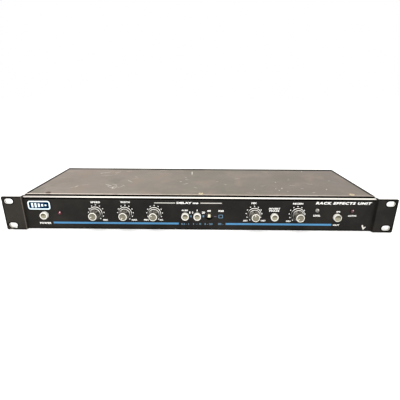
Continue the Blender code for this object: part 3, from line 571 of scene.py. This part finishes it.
AMBER = plastic("finish_plunger", (0.80, 0.73, 0.52), (0.93, 0.88, 0.70),
                roughness=0.36, grain=1400.0)
WHITE_INK = ink("finish_white_ink", (0.95, 0.945, 0.92), (0.80, 0.79, 0.75))
GREY_INK = ink("finish_grey_ink", (0.52, 0.51, 0.47), (0.34, 0.33, 0.30))
BLUE_INK = ink("finish_blue_ink", (0.056, 0.222, 0.430), (0.036, 0.150, 0.315))
PALE_BLUE_INK = ink("finish_pale_blue_ink", (0.105, 0.215, 0.32), (0.045, 0.095, 0.15))
BADGE_INK = ink("finish_badge_ink", (0.76, 0.90, 0.96), (0.60, 0.74, 0.82))
SCRATCH = ink("finish_scratch", (0.60, 0.57, 0.50), tinted(COVER_MID, 1.35))
FAINT_INK = ink("finish_faint_ink", (0.105, 0.082, 0.125), (0.055, 0.045, 0.065))
POINTER = ink("finish_pointer", (0.66, 0.63, 0.54), (0.48, 0.46, 0.38))

# ------------------------------------------------------------------ carried-over nodes
# Node name pattern and its finish; the first match counts.
NODE_FINISHES = (
    ("front_panel", PANEL), ("top_cover", COVER), ("chassis_tray", SHEET), ("rear_panel", SHEET),
    ("badge_plate", BADGE), ("*_potentiometer", PLATED), ("*_shaft", NICKEL),
    ("*_plunger", AMBER), ("*_switch", SWITCH), ("*_jack", NYLON), ("fuse_holder", NYLON),
    ("mains_inlet", NYLON), ("cover_screw*", YELLOW_ZINC), ("transformer_core", LAMINATION),
    ("transformer_winding", TAPE), ("filter_capacitor", SLEEVE),
    ("regulator_heatsink", HEATSINK), ("main_circuit_board", SOLDER_MASK), ("*_chip", CHIP),
)


def paint_nodes():
    for name, node in NODES.items():
        for pattern, finish in NODE_FINISHES:
            if fnmatchcase(name, pattern):
                node.data.materials.clear()
                node.data.materials.append(finish)
                break


def soften(name, width, segments=2, angle=35.0):
    """Rounds the hard edges of a CAD node; width in mm, angle in degrees."""
    node = NODES[name]
    weld = node.modifiers.new("weld", "WELD")
    weld.merge_threshold = 1e-6
    bevel = node.modifiers.new("bevel", "BEVEL")
    bevel.width = width * MM
    bevel.segments = segments
    bevel.limit_method = "ANGLE"
    bevel.angle_limit = math.radians(angle)
    bevel.harden_normals = True
    bevel.use_clamp_overlap = True


paint_nodes()
soften("front_panel", width=0.30)
soften("top_cover", width=0.30)
soften("chassis_tray", width=0.20, segments=1)
soften("rear_panel", width=0.20, segments=1)
soften("badge_plate", width=0.15)
soften("mains_inlet", width=0.35)
soften("fuse_holder", width=0.20, angle=25)
for jack in ("input_jack", "output_jack", "footswitch_jack"):
    soften(jack, width=0.25, angle=30)
for node_name in NODES:
    if node_name.endswith("_plunger"):
        soften(node_name, width=0.20)


# ------------------------------------------------------------------ mesh helpers
SHARP_ANGLE = math.radians(32)


def to_mesh(shell, name, outward=True):
    """Turns a bmesh into a mesh, with its normals pointing outward if asked."""
    if outward:
        bmesh.ops.recalc_face_normals(shell, faces=shell.faces)
    mesh = bpy.data.meshes.new(name)
    shell.to_mesh(mesh)
    shell.free()
    return mesh


def add_object(name, data):
    item = bpy.data.objects.new(name, data)
    bpy.context.scene.collection.objects.link(item)
    return item


def evaluated_mesh(item):
    """A copy of an object's mesh with its modifiers applied."""
    bpy.context.view_layer.update()
    depsgraph = bpy.context.evaluated_depsgraph_get()
    return bpy.data.meshes.new_from_object(item.evaluated_get(depsgraph))


def add_piece(name, mesh, finishes, body):
    """Adds an object that moves with a body and carries the given finishes."""
    piece = add_object(name, mesh)
    for finish in finishes:
        mesh.materials.append(finish)
    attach(piece, body)
    return piece


def axis_of(name):
    """The middle of a node in x and z."""
    lo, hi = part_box(name)
    return (lo.x + hi.x) / 2, (lo.z + hi.z) / 2


def flute_depth(angle, flutes=18, depth=0.50, sharpness=1.3):
    """How deep the finger flutes cut into a knob's grip, in mm."""
    return depth * max(0.0, math.cos(flutes * angle)) ** sharpness


def lathe(profile, segments, bands=None):
    """Turns (radius, height) points, front centre to back centre, into a mesh around -Y.

    A third item marks a point that the flutes cut into. `bands` gives the material index of
    each band between two points.
    """
    shell = bmesh.new()
    rings = []
    for radius, height, *fluted in profile:
        if radius == 0:
            rings.append([shell.verts.new((0, -height * MM, 0))])
            continue
        ring = []
        for j in range(segments):
            angle = 2 * math.pi * j / segments
            reach = radius - (flute_depth(angle) if fluted else 0.0)
            place = (reach * math.sin(angle) * MM, -height * MM, reach * math.cos(angle) * MM)
            ring.append(shell.verts.new(place))
        rings.append(ring)
    for i, (ahead, behind) in enumerate(zip(rings, rings[1:])):
        for j in range(segments):
            k = (j + 1) % segments
            if len(ahead) == 1:
                corners = (ahead[0], behind[j], behind[k])
            elif len(behind) == 1:
                corners = (ahead[j], behind[0], ahead[k])
            else:
                corners = (ahead[j], behind[j], behind[k], ahead[k])
            shell.faces.new(corners).material_index = bands[i] if bands else 0
    mesh = to_mesh(shell, "turned")
    mesh.shade_smooth()
    mesh.set_sharp_from_angle(angle=SHARP_ANGLE)
    return mesh


FACING = {"front": Matrix.Identity(4), "rear": Matrix.Rotation(math.pi, 4, "Z"),
          "up": Matrix.Rotation(-math.pi / 2, 4, "X")}


def placed(mesh, x, y, z, turn=0.0, facing="front"):
    """Moves a turned mesh to its axis; turn is clockwise from straight up, in degrees."""
    spin = Matrix.Rotation(math.radians(turn), 4, "Y")
    mesh.transform(Matrix.Translation((x, y, z)) @ (FACING[facing] @ spin))
    return mesh


def round_corners(points, radius, steps):
    """Rounds the inner corners of a (radius, height) profile."""
    rounded = [points[0]]
    for before, corner, after in zip(points, points[1:], points[2:]):
        corner = Vector(corner)
        back, ahead = Vector(before) - corner, Vector(after) - corner
        cut = min(radius, back.length * 0.45, ahead.length * 0.45)
        start, end = corner + back.normalized() * cut, corner + ahead.normalized() * cut
        for k in range(steps + 1):
            t = k / steps
            rounded.append(tuple(start * (1 - t) ** 2 + corner * 2 * t * (1 - t) + end * t ** 2))
    rounded.append(points[-1])
    return rounded


# ------------------------------------------------------------------ knobs
START_ANGLE = -150.0    # where a pointer stands at the low end of its range, in degrees


def pointer_mesh(cap_front):
    """Painted line across a knob's cap: a part in the hollow and a short part on the rim."""
    half_width = 0.50
    parts = (    # z from, z to, height at each of them
        (1.4, 4.00, cap_front - 0.41, cap_front - 0.31),
        (4.24, 4.66, cap_front, cap_front),
    )
    shell = bmesh.new()
    for z0, z1, height0, height1 in parts:
        corners = []
        for x, z, height in ((-half_width, z0, height0), (half_width, z0, height0),
                             (half_width, z1, height1), (-half_width, z1, height1)):
            for depth in (height + 0.04, height - 0.10):
                corners.append(shell.verts.new((x * MM, -depth * MM, z * MM)))
        for quad in ((0, 2, 4, 6), (1, 7, 5, 3),
                     (0, 1, 3, 2), (2, 3, 5, 4), (4, 5, 7, 6), (6, 7, 1, 0)):
            shell.faces.new([corners[i] for i in quad])
    return to_mesh(shell, "pointer")


def make_knob(joint):
    name = joint["name"][:-5]                # the joint's name without its ending
    body = joint["child"]
    lo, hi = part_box(name + "_knob")
    x, z = joint["pos_m"][0], joint["pos_m"][2]
    base = hi.y
    front = min(lo.y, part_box(name + "_knob_inlay")[0].y)
    length = (base - front) / MM
    turn = START_ANGLE - joint["range_deg"][0]
    centre = (x, front, z)

    # black moulded body: fluted grip, collar and skirt, hollow behind
    top = length - 0.80
    profile = [
        (0, top - 0.10), (4.60, top - 0.10), (4.86, top),
        (5.12, top - 0.30, True), (5.62, 0.62 * top, True), (6.02, 4.75, True),
        (6.08, 4.52), (6.36, 4.50), (6.64, 4.36), (6.76, 4.05), (6.80, 2.56),
        (7.55, 2.55), (8.18, 2.45), (8.44, 2.15), (8.44, 0.05), (8.2, 0.0),
        (5.6, 0.0), (5.6, 3.4), (3.2, 3.4), (3.2, 10.0), (0, 10.0),
    ]
    mesh = placed(lathe(profile, 144), x, base, z, turn)
    grip = add_piece(name + "_knob_grip", mesh, [knob_finish(name, centre, base)],
                     body)
    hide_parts(name + "_knob")

    # spun aluminium cap with a bright raised rim
    profile = [
        (0, length - 0.42), (2.2, length - 0.40), (3.98, length - 0.32), (4.16, length - 0.06),
        (4.28, length), (4.62, length), (4.82, length - 0.12), (4.90, length - 0.36),
        (4.90, length - 0.78), (0, length - 0.78),
    ]
    finishes = [
        spun_disc("finish_inlay_" + name, centre, (0.120, 0.110, 0.078), (0.190, 0.176, 0.128),
                  roughness=0.40, top_shadow=True),
        spun_disc("finish_inlay_rim_" + name, centre, (0.76, 0.74, 0.66), (0.92, 0.90, 0.82),
                  roughness=0.30),
    ]
    mesh = placed(lathe(profile, 96, bands=[0] * 3 + [1] * 6), x, base, z, turn)
    cap = add_piece(name + "_knob_cap", mesh, finishes, body)
    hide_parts(name + "_knob_inlay")

    mesh = placed(pointer_mesh(length), x, base, z, turn)
    add_piece(name + "_pointer", mesh, [POINTER], body)


for hinge in HINGES:
    make_knob(hinge)


# ------------------------------------------------------------------ push buttons
def make_button(name):
    """Cream cap with a thumb dish in its front."""
    lo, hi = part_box(name)
    x, z = axis_of(name)
    length = (hi.y - lo.y) / MM
    radius = (hi.x - lo.x) / 2 / MM
    extra = 0.5 if name == "in_out_button" else 0.0    # its dish is wider
    profile = [
        (0, length - 1.55), (1.8 + extra, length - 1.50), (2.70 + extra, length - 1.28),
        (3.15 + extra, length - 0.88), (3.40 + extra, length - 0.40),
        (3.52 + extra, length - 0.10), (3.76 + extra / 2, length), (4.26, length),
        (4.50, length - 0.12), (radius - 0.20, length - 0.34), (radius - 0.08, length - 0.70),
        (radius - 0.05, 0.2), (radius - 0.2, 0), (0, 0),
    ]
    mesh = placed(lathe(profile, 72, bands=[1] * 4 + [0] * 9), x, hi.y, z)
    cap = add_piece(name + "_cap", mesh, [CREAM, dish_finish(name, (x, lo.y, z))],
                    name.removesuffix("_button") + "_pushbutton")
    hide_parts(name)


for button in [name for name in NODES if name.endswith("_button")]:
    make_button(button)

# ------------------------------------------------------------------ indicator lamps
RED_DEEP, RED_RIM, RED_GLINT = (0.115, 0.010, 0.022), (0.045, 0.006, 0.011), (0.78, 0.52, 0.55)
CLEAR = {"deep": (0.085, 0.080, 0.075), "rim": (0.40, 0.39, 0.36), "glint": (0.80, 0.79, 0.76)}


def red(strength):
    return {"deep": tinted(RED_DEEP, strength), "rim": tinted(RED_RIM, strength),
            "glint": RED_GLINT}


def make_lamp(name, colors):
    """Domed lens with a small flange at its back."""
    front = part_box(name)[0].y
    x, z = axis_of(name)
    back = FACE_Y + 6.5 * MM
    length = (back - front) / MM
    radius, dome_steps = 2.5, 8
    profile = [(0, length)]
    for i in range(1, dome_steps + 1):
        angle = math.radians(90 - 90 * i / dome_steps)
        profile.append((radius * math.cos(angle), length - radius + radius * math.sin(angle)))
    profile += [(radius, 1.0), (2.85, 0.9), (2.85, 0.0), (0, 0)]
    finish = lens("finish_" + name, axis=(x, front, z), **colors)
    lamp = add_piece(name + "_lens", placed(lathe(profile, 48), x, back, z), [finish],
                     "chassis")
    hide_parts(name)


make_lamp("power_led", red(1.0))
make_lamp("level_led", CLEAR)
make_lamp("active_led", red(0.35))

# ------------------------------------------------------------------ cover screws
HEAD_HEIGHT = 0.75
SCREW_PROFILE = round_corners(
    [(0, HEAD_HEIGHT), (2.1, 0.72), (2.9, 0.50), (3.2, 0.12), (3.2, 0.0), (1.6, 0.0),
     (1.6, -6.5), (0, -6.9)], radius=0.12, steps=2)


def add_recess_cutter(screw, half_x, half_z):
    """Cuts one bar of the cross recess out of a screw head."""
    shell = bmesh.new()
    bmesh.ops.create_cube(shell, size=2.0)
    bmesh.ops.scale(shell, vec=(half_x * MM, 0.42 * MM, half_z * MM), verts=shell.verts)
    bmesh.ops.translate(shell, vec=(0, -0.85 * MM, 0), verts=shell.verts)
    for face in shell.faces:
        face.material_index = 1
    mesh = to_mesh(shell, "recess", outward=False)
    mesh.materials.append(YELLOW_ZINC)
    mesh.materials.append(RECESS)
    cutter = add_object("recess", mesh)
    cut = screw.modifiers.new("recess", "BOOLEAN")
    cut.operation = "DIFFERENCE"
    cut.solver = "EXACT"
    cut.object = cutter
    return cutter


def make_screw(name):
    """Cross-recess screw, its head up on the cover or facing back at the rear."""
    lo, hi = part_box(name)
    x, z = axis_of(name)
    if "rear" in name:
        y = hi.y - HEAD_HEIGHT * MM
        turn, facing = 35.0, "rear"
    else:
        y = (lo.y + hi.y) / 2
        z = hi.z - HEAD_HEIGHT * MM
        turn, facing = 20.0, "up"
    metal = TARNISHED if name.endswith("front_left") else YELLOW_ZINC
    screw = add_piece(name + "_head", lathe(SCREW_PROFILE, 48), [metal, RECESS],
                      "chassis")
    cutters = [add_recess_cutter(screw, 0.34, 1.45), add_recess_cutter(screw, 1.45, 0.34)]
    mesh = evaluated_mesh(screw)
    screw.modifiers.clear()
    for cutter in cutters:
        bpy.data.objects.remove(cutter, do_unlink=True)
    placed(mesh, x, y, z, turn, facing)
    mesh.set_sharp_from_angle(angle=SHARP_ANGLE)
    screw.data = mesh
    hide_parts(name)


for screw_name in [name for name in NODES if name.startswith("cover_screw")]:
    make_screw(screw_name)

# ------------------------------------------------------------------ printing helpers
INK_FRONT = 0.035       # the printed layer lies between these distances off its surface, in mm
INK_BACK = 0.004


def rectangle(x0, x1, z0, z1):
    return [(x0, z0), (x1, z0), (x1, z1), (x0, z1)]


def rounded_rect(x0, z0, x1, z1, radius, steps=6):
    points = []
    for x, z, start in ((x1 - radius, z0 + radius, -90), (x1 - radius, z1 - radius, 0),
                        (x0 + radius, z1 - radius, 90), (x0 + radius, z0 + radius, 180)):
        for i in range(steps + 1):
            angle = math.radians(start + 90 * i / steps)
            points.append((x + radius * math.cos(angle), z + radius * math.sin(angle)))
    return points


def add_slab(shell, y, outline, hole=None):
    """Adds a thin printed shape in front of plane y; a hole has as many points as its outline."""
    y_front, y_back = y - INK_FRONT * MM, y - INK_BACK * MM

    def rings(points):
        return [[shell.verts.new((x * MM, plane, z * MM)) for x, z in points]
                for plane in (y_front, y_back)]

    count = len(outline)
    front, back = rings(outline)
    for i in range(count):
        k = (i + 1) % count
        shell.faces.new((front[i], back[i], back[k], front[k]))
    if not hole:
        shell.faces.new(front)
        shell.faces.new(list(reversed(back)))
        return
    hole_front, hole_back = rings(hole)
    for i in range(count):
        k = (i + 1) % count
        shell.faces.new((hole_front[i], hole_front[k], hole_back[k], hole_back[i]))
    for i in range(count):
        k = (i + 1) % count
        shell.faces.new((front[i], front[k], hole_front[k], hole_front[i]))
        shell.faces.new((back[k], back[i], hole_back[i], hole_back[k]))


def print_layer(name, finish, texts=(), shapes=(), y=FACE_Y):
    """Joins text meshes and (outline, hole) shapes into one printed piece."""
    shell = bmesh.new()
    for text in texts:
        shell.from_mesh(text)
    for shape in shapes:
        add_slab(shell, y, *shape)
    return add_piece(name, to_mesh(shell, name), [finish], "chassis")


def lettering(text, x0, x1, z0, z1, weight, spacing=1.0, slant=0.0, y=FACE_Y, rear=False):
    """Lettering fitted to a box in mm, as a thin solid mesh on plane y."""
    curve = bpy.data.curves.new("text", "FONT")
    curve.body = text
    curve.size = 1.0
    curve.extrude = 0.01
    curve.offset = weight
    curve.resolution_u = 3
    curve.space_character = spacing
    writing = add_object("text", curve)
    mesh = evaluated_mesh(writing)
    bpy.data.objects.remove(writing, do_unlink=True)
    bpy.data.curves.remove(curve)
    if slant:
        mesh.transform(Matrix(((1, slant, 0, 0), (0, 1, 0, 0), (0, 0, 1, 0), (0, 0, 0, 1))))
    left, bottom, low = (min(vert.co[i] for vert in mesh.vertices) for i in range(3))
    right, top, high = (max(vert.co[i] for vert in mesh.vertices) for i in range(3))
    scale_x = (x1 - x0) / (right - left)
    scale_z = (z1 - z0) / (top - bottom)
    outward = 1 if rear else -1
    for vert in mesh.vertices:
        across = (vert.co.x - left) * scale_x
        depth = (vert.co.z - low) / (high - low)       # 1 at the visible side
        off_surface = (INK_BACK + depth * (INK_FRONT - INK_BACK)) * MM
        x = x1 - across if rear else x0 + across
        z = z0 + (vert.co.y - bottom) * scale_z
        vert.co = Vector((x * MM, y + outward * off_surface, z * MM))
    return mesh


# ------------------------------------------------------------------ printed legends
# Lettering styles: stroke weight, letter spacing, slant.
THIN = (0.030, 1.0, 0.0)
BOLD = (0.040, 1.0, 0.0)
WIDE = (0.040, 1.14, 0.0)
TITLE = (0.040, 1.16, 0.22)
MARGIN_X, MARGIN_Z = 0.30, 0.25    # clear space inside the boxes of the tables

# Text, box x0, x1, z0, z1, style.
WHITE_TEXTS = (
    ("POWER", -201.2, -186.1, 5.9, 8.9, WIDE), ("SPEED", -134.0, -121.6, 34.5, 37.2, WIDE),
    ("WIDTH", -97.2, -84.9, 34.8, 37.5, WIDE), ("DELAY ms", -27.7, -0.3, 34.3, 37.3, BOLD),
    ("MIX", 64.3, 71.5, 34.8, 37.5, BOLD), ("REGEN", 115.3, 128.3, 34.6, 37.3, WIDE),
    ("INVERT", 86.4, 100.7, 27.7, 30.4, WIDE), ("PHASE", 86.8, 99.9, 24.9, 27.5, WIDE),
    ("LEVEL", 141.9, 151.3, 18.9, 21.6, WIDE), ("ACTIVE", 184.9, 195.7, 19.2, 21.6, WIDE),
    ("IN", 170.1, 174.9, 24.5, 26.9, BOLD), ("OUT", 168.0, 176.7, 6.5, 8.9, BOLD),
    ("RACK EFFECTS UNIT", 143.1, 212.1, 34.95, 38.7, TITLE),
    ("MAX", -120.5, -114.1, 10.9, 13.7, THIN), ("MAX", -84.6, -77.2, 11.2, 14.0, THIN),
    ("MIN", -69.1, -63.0, 11.4, 14.2, THIN), ("MAX", -49.4, -44.4, 11.6, 14.2, THIN),
    ("DRY", 55.4, 61.6, 11.5, 14.0, THIN), ("WET", 76.9, 83.9, 11.6, 14.1, THIN),
    ("MIN", 109.0, 115.0, 11.3, 13.8, THIN), ("10", 128.0, 131.2, 11.5, 14.0, THIN),
    ("0.25", -21.5, -13.4, 24.8, 27.2, BOLD), ("5", -3.2, -1.0, 24.6, 27.2, BOLD),
    ("20", 10.0, 15.2, 24.2, 26.9, BOLD), ("320", 23.8, 31.2, 24.2, 26.9, BOLD),
    ("1", -12.2, -10.3, 21.6, 24.7, THIN), ("5", -8.6, -6.7, 21.6, 24.7, THIN),
    ("20", 3.6, 7.9, 21.5, 24.8, THIN),
)
PALE_TEXTS = (
    ("0.2 - 1", -22.5, -12.1, 6.3, 9.0, THIN), ("1 - 5", -7.5, 3.4, 6.5, 9.1, THIN),
    ("5 - 20", 6.8, 17.7, 6.3, 9.2, THIN), ("20 -", 23.8, 31.3, 6.5, 9.4, THIN),
)
PALE_SHAPES = (    # two small bars and an open frame
    (rounded_rect(-10.4, 16.8, -9.1, 19.6, 0.5, steps=3),),
    (rounded_rect(4.7, 16.9, 6.6, 19.8, 0.6, steps=3),),
    (rounded_rect(24.6, 15.8, 30.0, 20.5, 0.9), rounded_rect(25.3, 16.5, 29.3, 19.8, 0.5)),
)
# Bars: x0, x1, z0, z1.
GREY_BARS = ((-55.1, -29.2, 35.0, 36.2), (1.9, 28.2, 35.1, 36.3))
BLUE_BARS = ((-183.6, -25.2, 6.85, 9.35), (33.8, 166.3, 6.85, 9.35))
FAINT_BARS = ((18.8, 22.1, 17.6, 18.5),)


def legends(table):
    return [lettering(text, x0 + MARGIN_X, x1 - MARGIN_X, z0 + MARGIN_Z, z1 - MARGIN_Z, *style)
            for text, x0, x1, z0, z1, style in table]


def bars(table):
    return [(rectangle(*row),) for row in table]


def knob_ticks():
    """Eleven marks around each knob, 30 degrees apart."""
    inner, outer, half_width = 9.20, 10.30, 0.66
    ticks = []
    for joint in HINGES:
        x, z = joint["pos_m"][0] / MM, joint["pos_m"][2] / MM
        for k in range(11):
            angle = math.radians(START_ANGLE + 30 * k)
            sine, cosine = math.sin(angle), math.cos(angle)
            corners = ((inner, -half_width), (inner, half_width),
                       (outer, half_width), (outer, -half_width))
            ticks.append(([(x + sine * radius + cosine * side, z + cosine * radius - sine * side)
                           for radius, side in corners],))
    return ticks


print_layer("legends_white", WHITE_INK, legends(WHITE_TEXTS), knob_ticks())
print_layer("legends_grey", GREY_INK, shapes=bars(GREY_BARS))
print_layer("legends_blue_stripe", BLUE_INK, shapes=bars(BLUE_BARS))
print_layer("legends_blue_text", PALE_BLUE_INK, legends(PALE_TEXTS), PALE_SHAPES)
print_layer("legends_faint", FAINT_INK, shapes=bars(FAINT_BARS))


def print_badge():
    """Badge artwork: a pale frame around a row of pulses that die away."""
    lo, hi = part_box("badge_plate")
    x0, x1, z0, z1 = lo.x / MM, hi.x / MM, lo.z / MM, hi.z / MM

    def inset(gap, radius):
        return rounded_rect(x0 + gap, z0 + gap, x1 - gap, z1 - gap, radius)

    art = [(inset(0.02, radius=2.95), inset(1.55, radius=1.6))]
    middle = (z0 + z1) / 2
    pitch, half_width = 4.1, 1.15
    for i, reach in enumerate((3.0, 3.0, 2.3, 1.6, 1.0)):
        x = (x0 + x1) / 2 + (i - 2.0) * pitch
        art.append((rounded_rect(x - half_width, middle - reach, x + half_width, middle + reach,
                                 radius=0.5, steps=3),))
    print_layer("badge_artwork", BADGE_INK, shapes=art, y=lo.y)


def print_rear():
    """Names above the sockets of the rear panel."""
    texts = []
    for node, text, width in (("input_jack", "INPUT", 11.0), ("output_jack", "OUTPUT", 13.0),
                              ("footswitch_jack", "FOOTSWITCH", 20.0),
                              ("fuse_holder", "FUSE", 9.0)):
        x = axis_of(node)[0] / MM
        texts.append(lettering(text, x - width / 2, x + width / 2, 29.6, 31.8, *THIN,
                               y=REAR_Y, rear=True))
    print_layer("rear_legends", WHITE_INK, texts)


print_badge()
print_rear()

# ------------------------------------------------------------------ scratches on the cover
# Start x and distance behind the ears, end x and distance, half width, in mm.
SCRATCHES = (
    (-12.0, 110, -12.5, 131, 0.80), (-129.5, 55, -118.5, 48, 0.75), (-116.4, 44, -115.0, 35, 0.85),
    (-113, 52, -116, 43, 0.45), (-110.5, 47, -113.5, 34, 0.45), (-120.5, 42, -112, 38, 0.45),
    (-125, 47, -119, 41, 0.40), (-107, 52, -101, 49, 0.40), (-109, 40, -104, 47, 0.35),
    (-122, 58, -112, 52, 0.35), (-167.3, 41, -164.3, 49, 0.60), (-172, 38, -168.5, 43, 0.30),
    (-162, 50, -152, 55, 0.28), (-156, 116, -141, 122.5, 0.50), (-155.5, 115, -153, 117, 0.70),
    (-134, 118, -126, 126, 0.45), (-131, 110, -129, 115, 0.50), (-118, 128, -108, 132, 0.45),
    (-66, 134, -52, 136, 0.45), (-104, 77, -95, 67, 0.42), (-98, 97, -93, 95, 0.40),
    (-150, 100, -132, 104, 0.30), (-29, 74, -25, 71, 0.50), (-22.5, 58, -15.5, 63.5, 0.42),
    (-23, 95, -18, 91, 0.42), (-21, 84, -16, 80, 0.28), (-8, 46, -2, 40, 0.25),
    (110.0, 40.5, 110.7, 43.8, 0.85), (104.4, 32.2, 105.4, 35.0, 0.75),
    (101.3, 40.6, 103.0, 42.2, 0.50), (114, 29, 116, 30.4, 0.45), (72.2, 36.2, 73.8, 38.0, 0.60),
    (167.8, 37.0, 169.2, 40.4, 0.75), (129, 84, 131.5, 86.5, 0.60),
    (187.2, 79.5, 188.8, 82.0, 0.50), (107, 69, 109, 71.5, 0.50), (123, 58, 132.5, 53, 0.35),
    (24, 71.5, 27, 73.5, 0.50), (34, 60, 38, 58, 0.35), (163, 133, 166, 136, 0.60),
    (150, 66, 158, 62, 0.28), (52, 90, 60, 92, 0.28), (84, 52, 90, 54, 0.28),
    (136, 44, 140, 42, 0.35), (144, 24, 150, 26, 0.35), (60, 22, 70, 21, 0.30),
)
# Place along a scratch and its share of the half width there.
TAPER = ((0.0, 0.30), (0.25, 0.85), (0.5, 1.0), (0.78, 0.75), (1.0, 0.15))


def make_scratches():
    """Tapered slivers lying on the top sheet."""
    shell = bmesh.new()
    for start_x, start_y, end_x, end_y, half_width in SCRATCHES:
        start = Vector((start_x * MM, EAR_FRONT + start_y * MM))
        end = Vector((end_x * MM, EAR_FRONT + end_y * MM))
        line = end - start
        side = Vector((-line.y, line.x)).normalized() * half_width * MM
        ring = [start.lerp(end, along) + side * share for along, share in TAPER]
        ring += [start.lerp(end, along) - side * share for along, share in reversed(TAPER)]
        upper, lower = ([shell.verts.new((point.x, point.y, COVER_HI.z + lift)) for point in ring]
                        for lift in (0.000014, 0.000002))
        shell.faces.new(upper)
        shell.faces.new(list(reversed(lower)))
        for i in range(len(ring)):
            k = (i + 1) % len(ring)
            shell.faces.new((upper[i], lower[i], lower[k], upper[k]))
    add_piece("cover_scratches", to_mesh(shell, "cover_scratches"), [SCRATCH],
              "chassis")


make_scratches()


# ------------------------------------------------------------------ floor, light and camera
def make_floor():
    shell = bmesh.new()
    bmesh.ops.create_grid(shell, x_segments=2, y_segments=2, size=6.0)
    floor = add_object("floor", to_mesh(shell, "floor", outward=False))
    floor.location.z = CAD_BOX[0][2] - 0.4 * MM
    finish = Finish("studio_floor").apply(color=(0.93, 0.93, 0.925), roughness=0.85, specular=0.1,
                                          emission=(1.0, 1.0, 1.0), glow=0.22)
    floor.data.materials.append(finish)


def make_world():
    """A faintly warm light all around that the camera sees as pure white."""
    world = bpy.context.scene.world or bpy.data.worlds.new("world")
    bpy.context.scene.world = world
    world.use_nodes = True
    tree = world.node_tree
    tree.nodes.clear()
    output = add_node(tree, "ShaderNodeOutputWorld")
    pick = add_node(tree, "ShaderNodeMixShader")
    path = add_node(tree, "ShaderNodeLightPath")
    tree.links.new(path.outputs["Is Camera Ray"], pick.inputs[0])
    for socket, color in ((pick.inputs[1], (1.0, 0.99, 0.975)), (pick.inputs[2], (1.0, 1.0, 1.0))):
        background = add_node(tree, "ShaderNodeBackground")
        feed(background.inputs["Color"], color)
        feed(background.inputs["Strength"], 1.0)
        tree.links.new(background.outputs[0], socket)
    tree.links.new(pick.outputs[0], output.inputs[0])


def add_softbox(name, location, target, size, power):
    data = bpy.data.lights.new(name, "AREA")
    data.shape = "RECTANGLE"
    data.size, data.size_y = size
    data.energy = power
    data.color = (1.0, 0.985, 0.96)
    light = bpy.data.objects.new(name, data)
    light.location = location
    direction = Vector(target) - Vector(location)
    light.rotation_euler = direction.to_track_quat("-Z", "Y").to_euler()
    bpy.context.scene.collection.objects.link(light)


def make_camera():
    """In front of the unit and above it, looking down at the control face."""
    data = bpy.data.cameras.new("camera")
    data.sensor_width = 36.0
    data.lens = 27.65
    data.clip_start = 0.01
    camera = bpy.data.objects.new("camera", data)
    right = (0.99993835, 0.01011966, 0.00457105)
    up = (-0.00768041, 0.33300696, 0.94289309)
    backward = (0.00801956, -0.94287006, 0.33306416)
    pose = Matrix((right, up, backward)).transposed().to_4x4()
    pose.translation = (0.0044, EAR_FRONT - 0.351, 0.1652)
    camera.matrix_world = pose
    bpy.context.scene.collection.objects.link(camera)
    bpy.context.scene.camera = camera


make_floor()
bpy.context.scene.view_settings.view_transform = "Standard"
make_world()
add_softbox("key_overhead", location=(-0.25, -0.35, 1.25), target=(0.0, 0.0, 0.03),
            size=(1.3, 0.9), power=9.0)
add_softbox("front_fill", location=(0.1, -1.6, 0.55), target=(0.0, -0.05, 0.02),
            size=(1.6, 0.8), power=7.0)
make_camera()
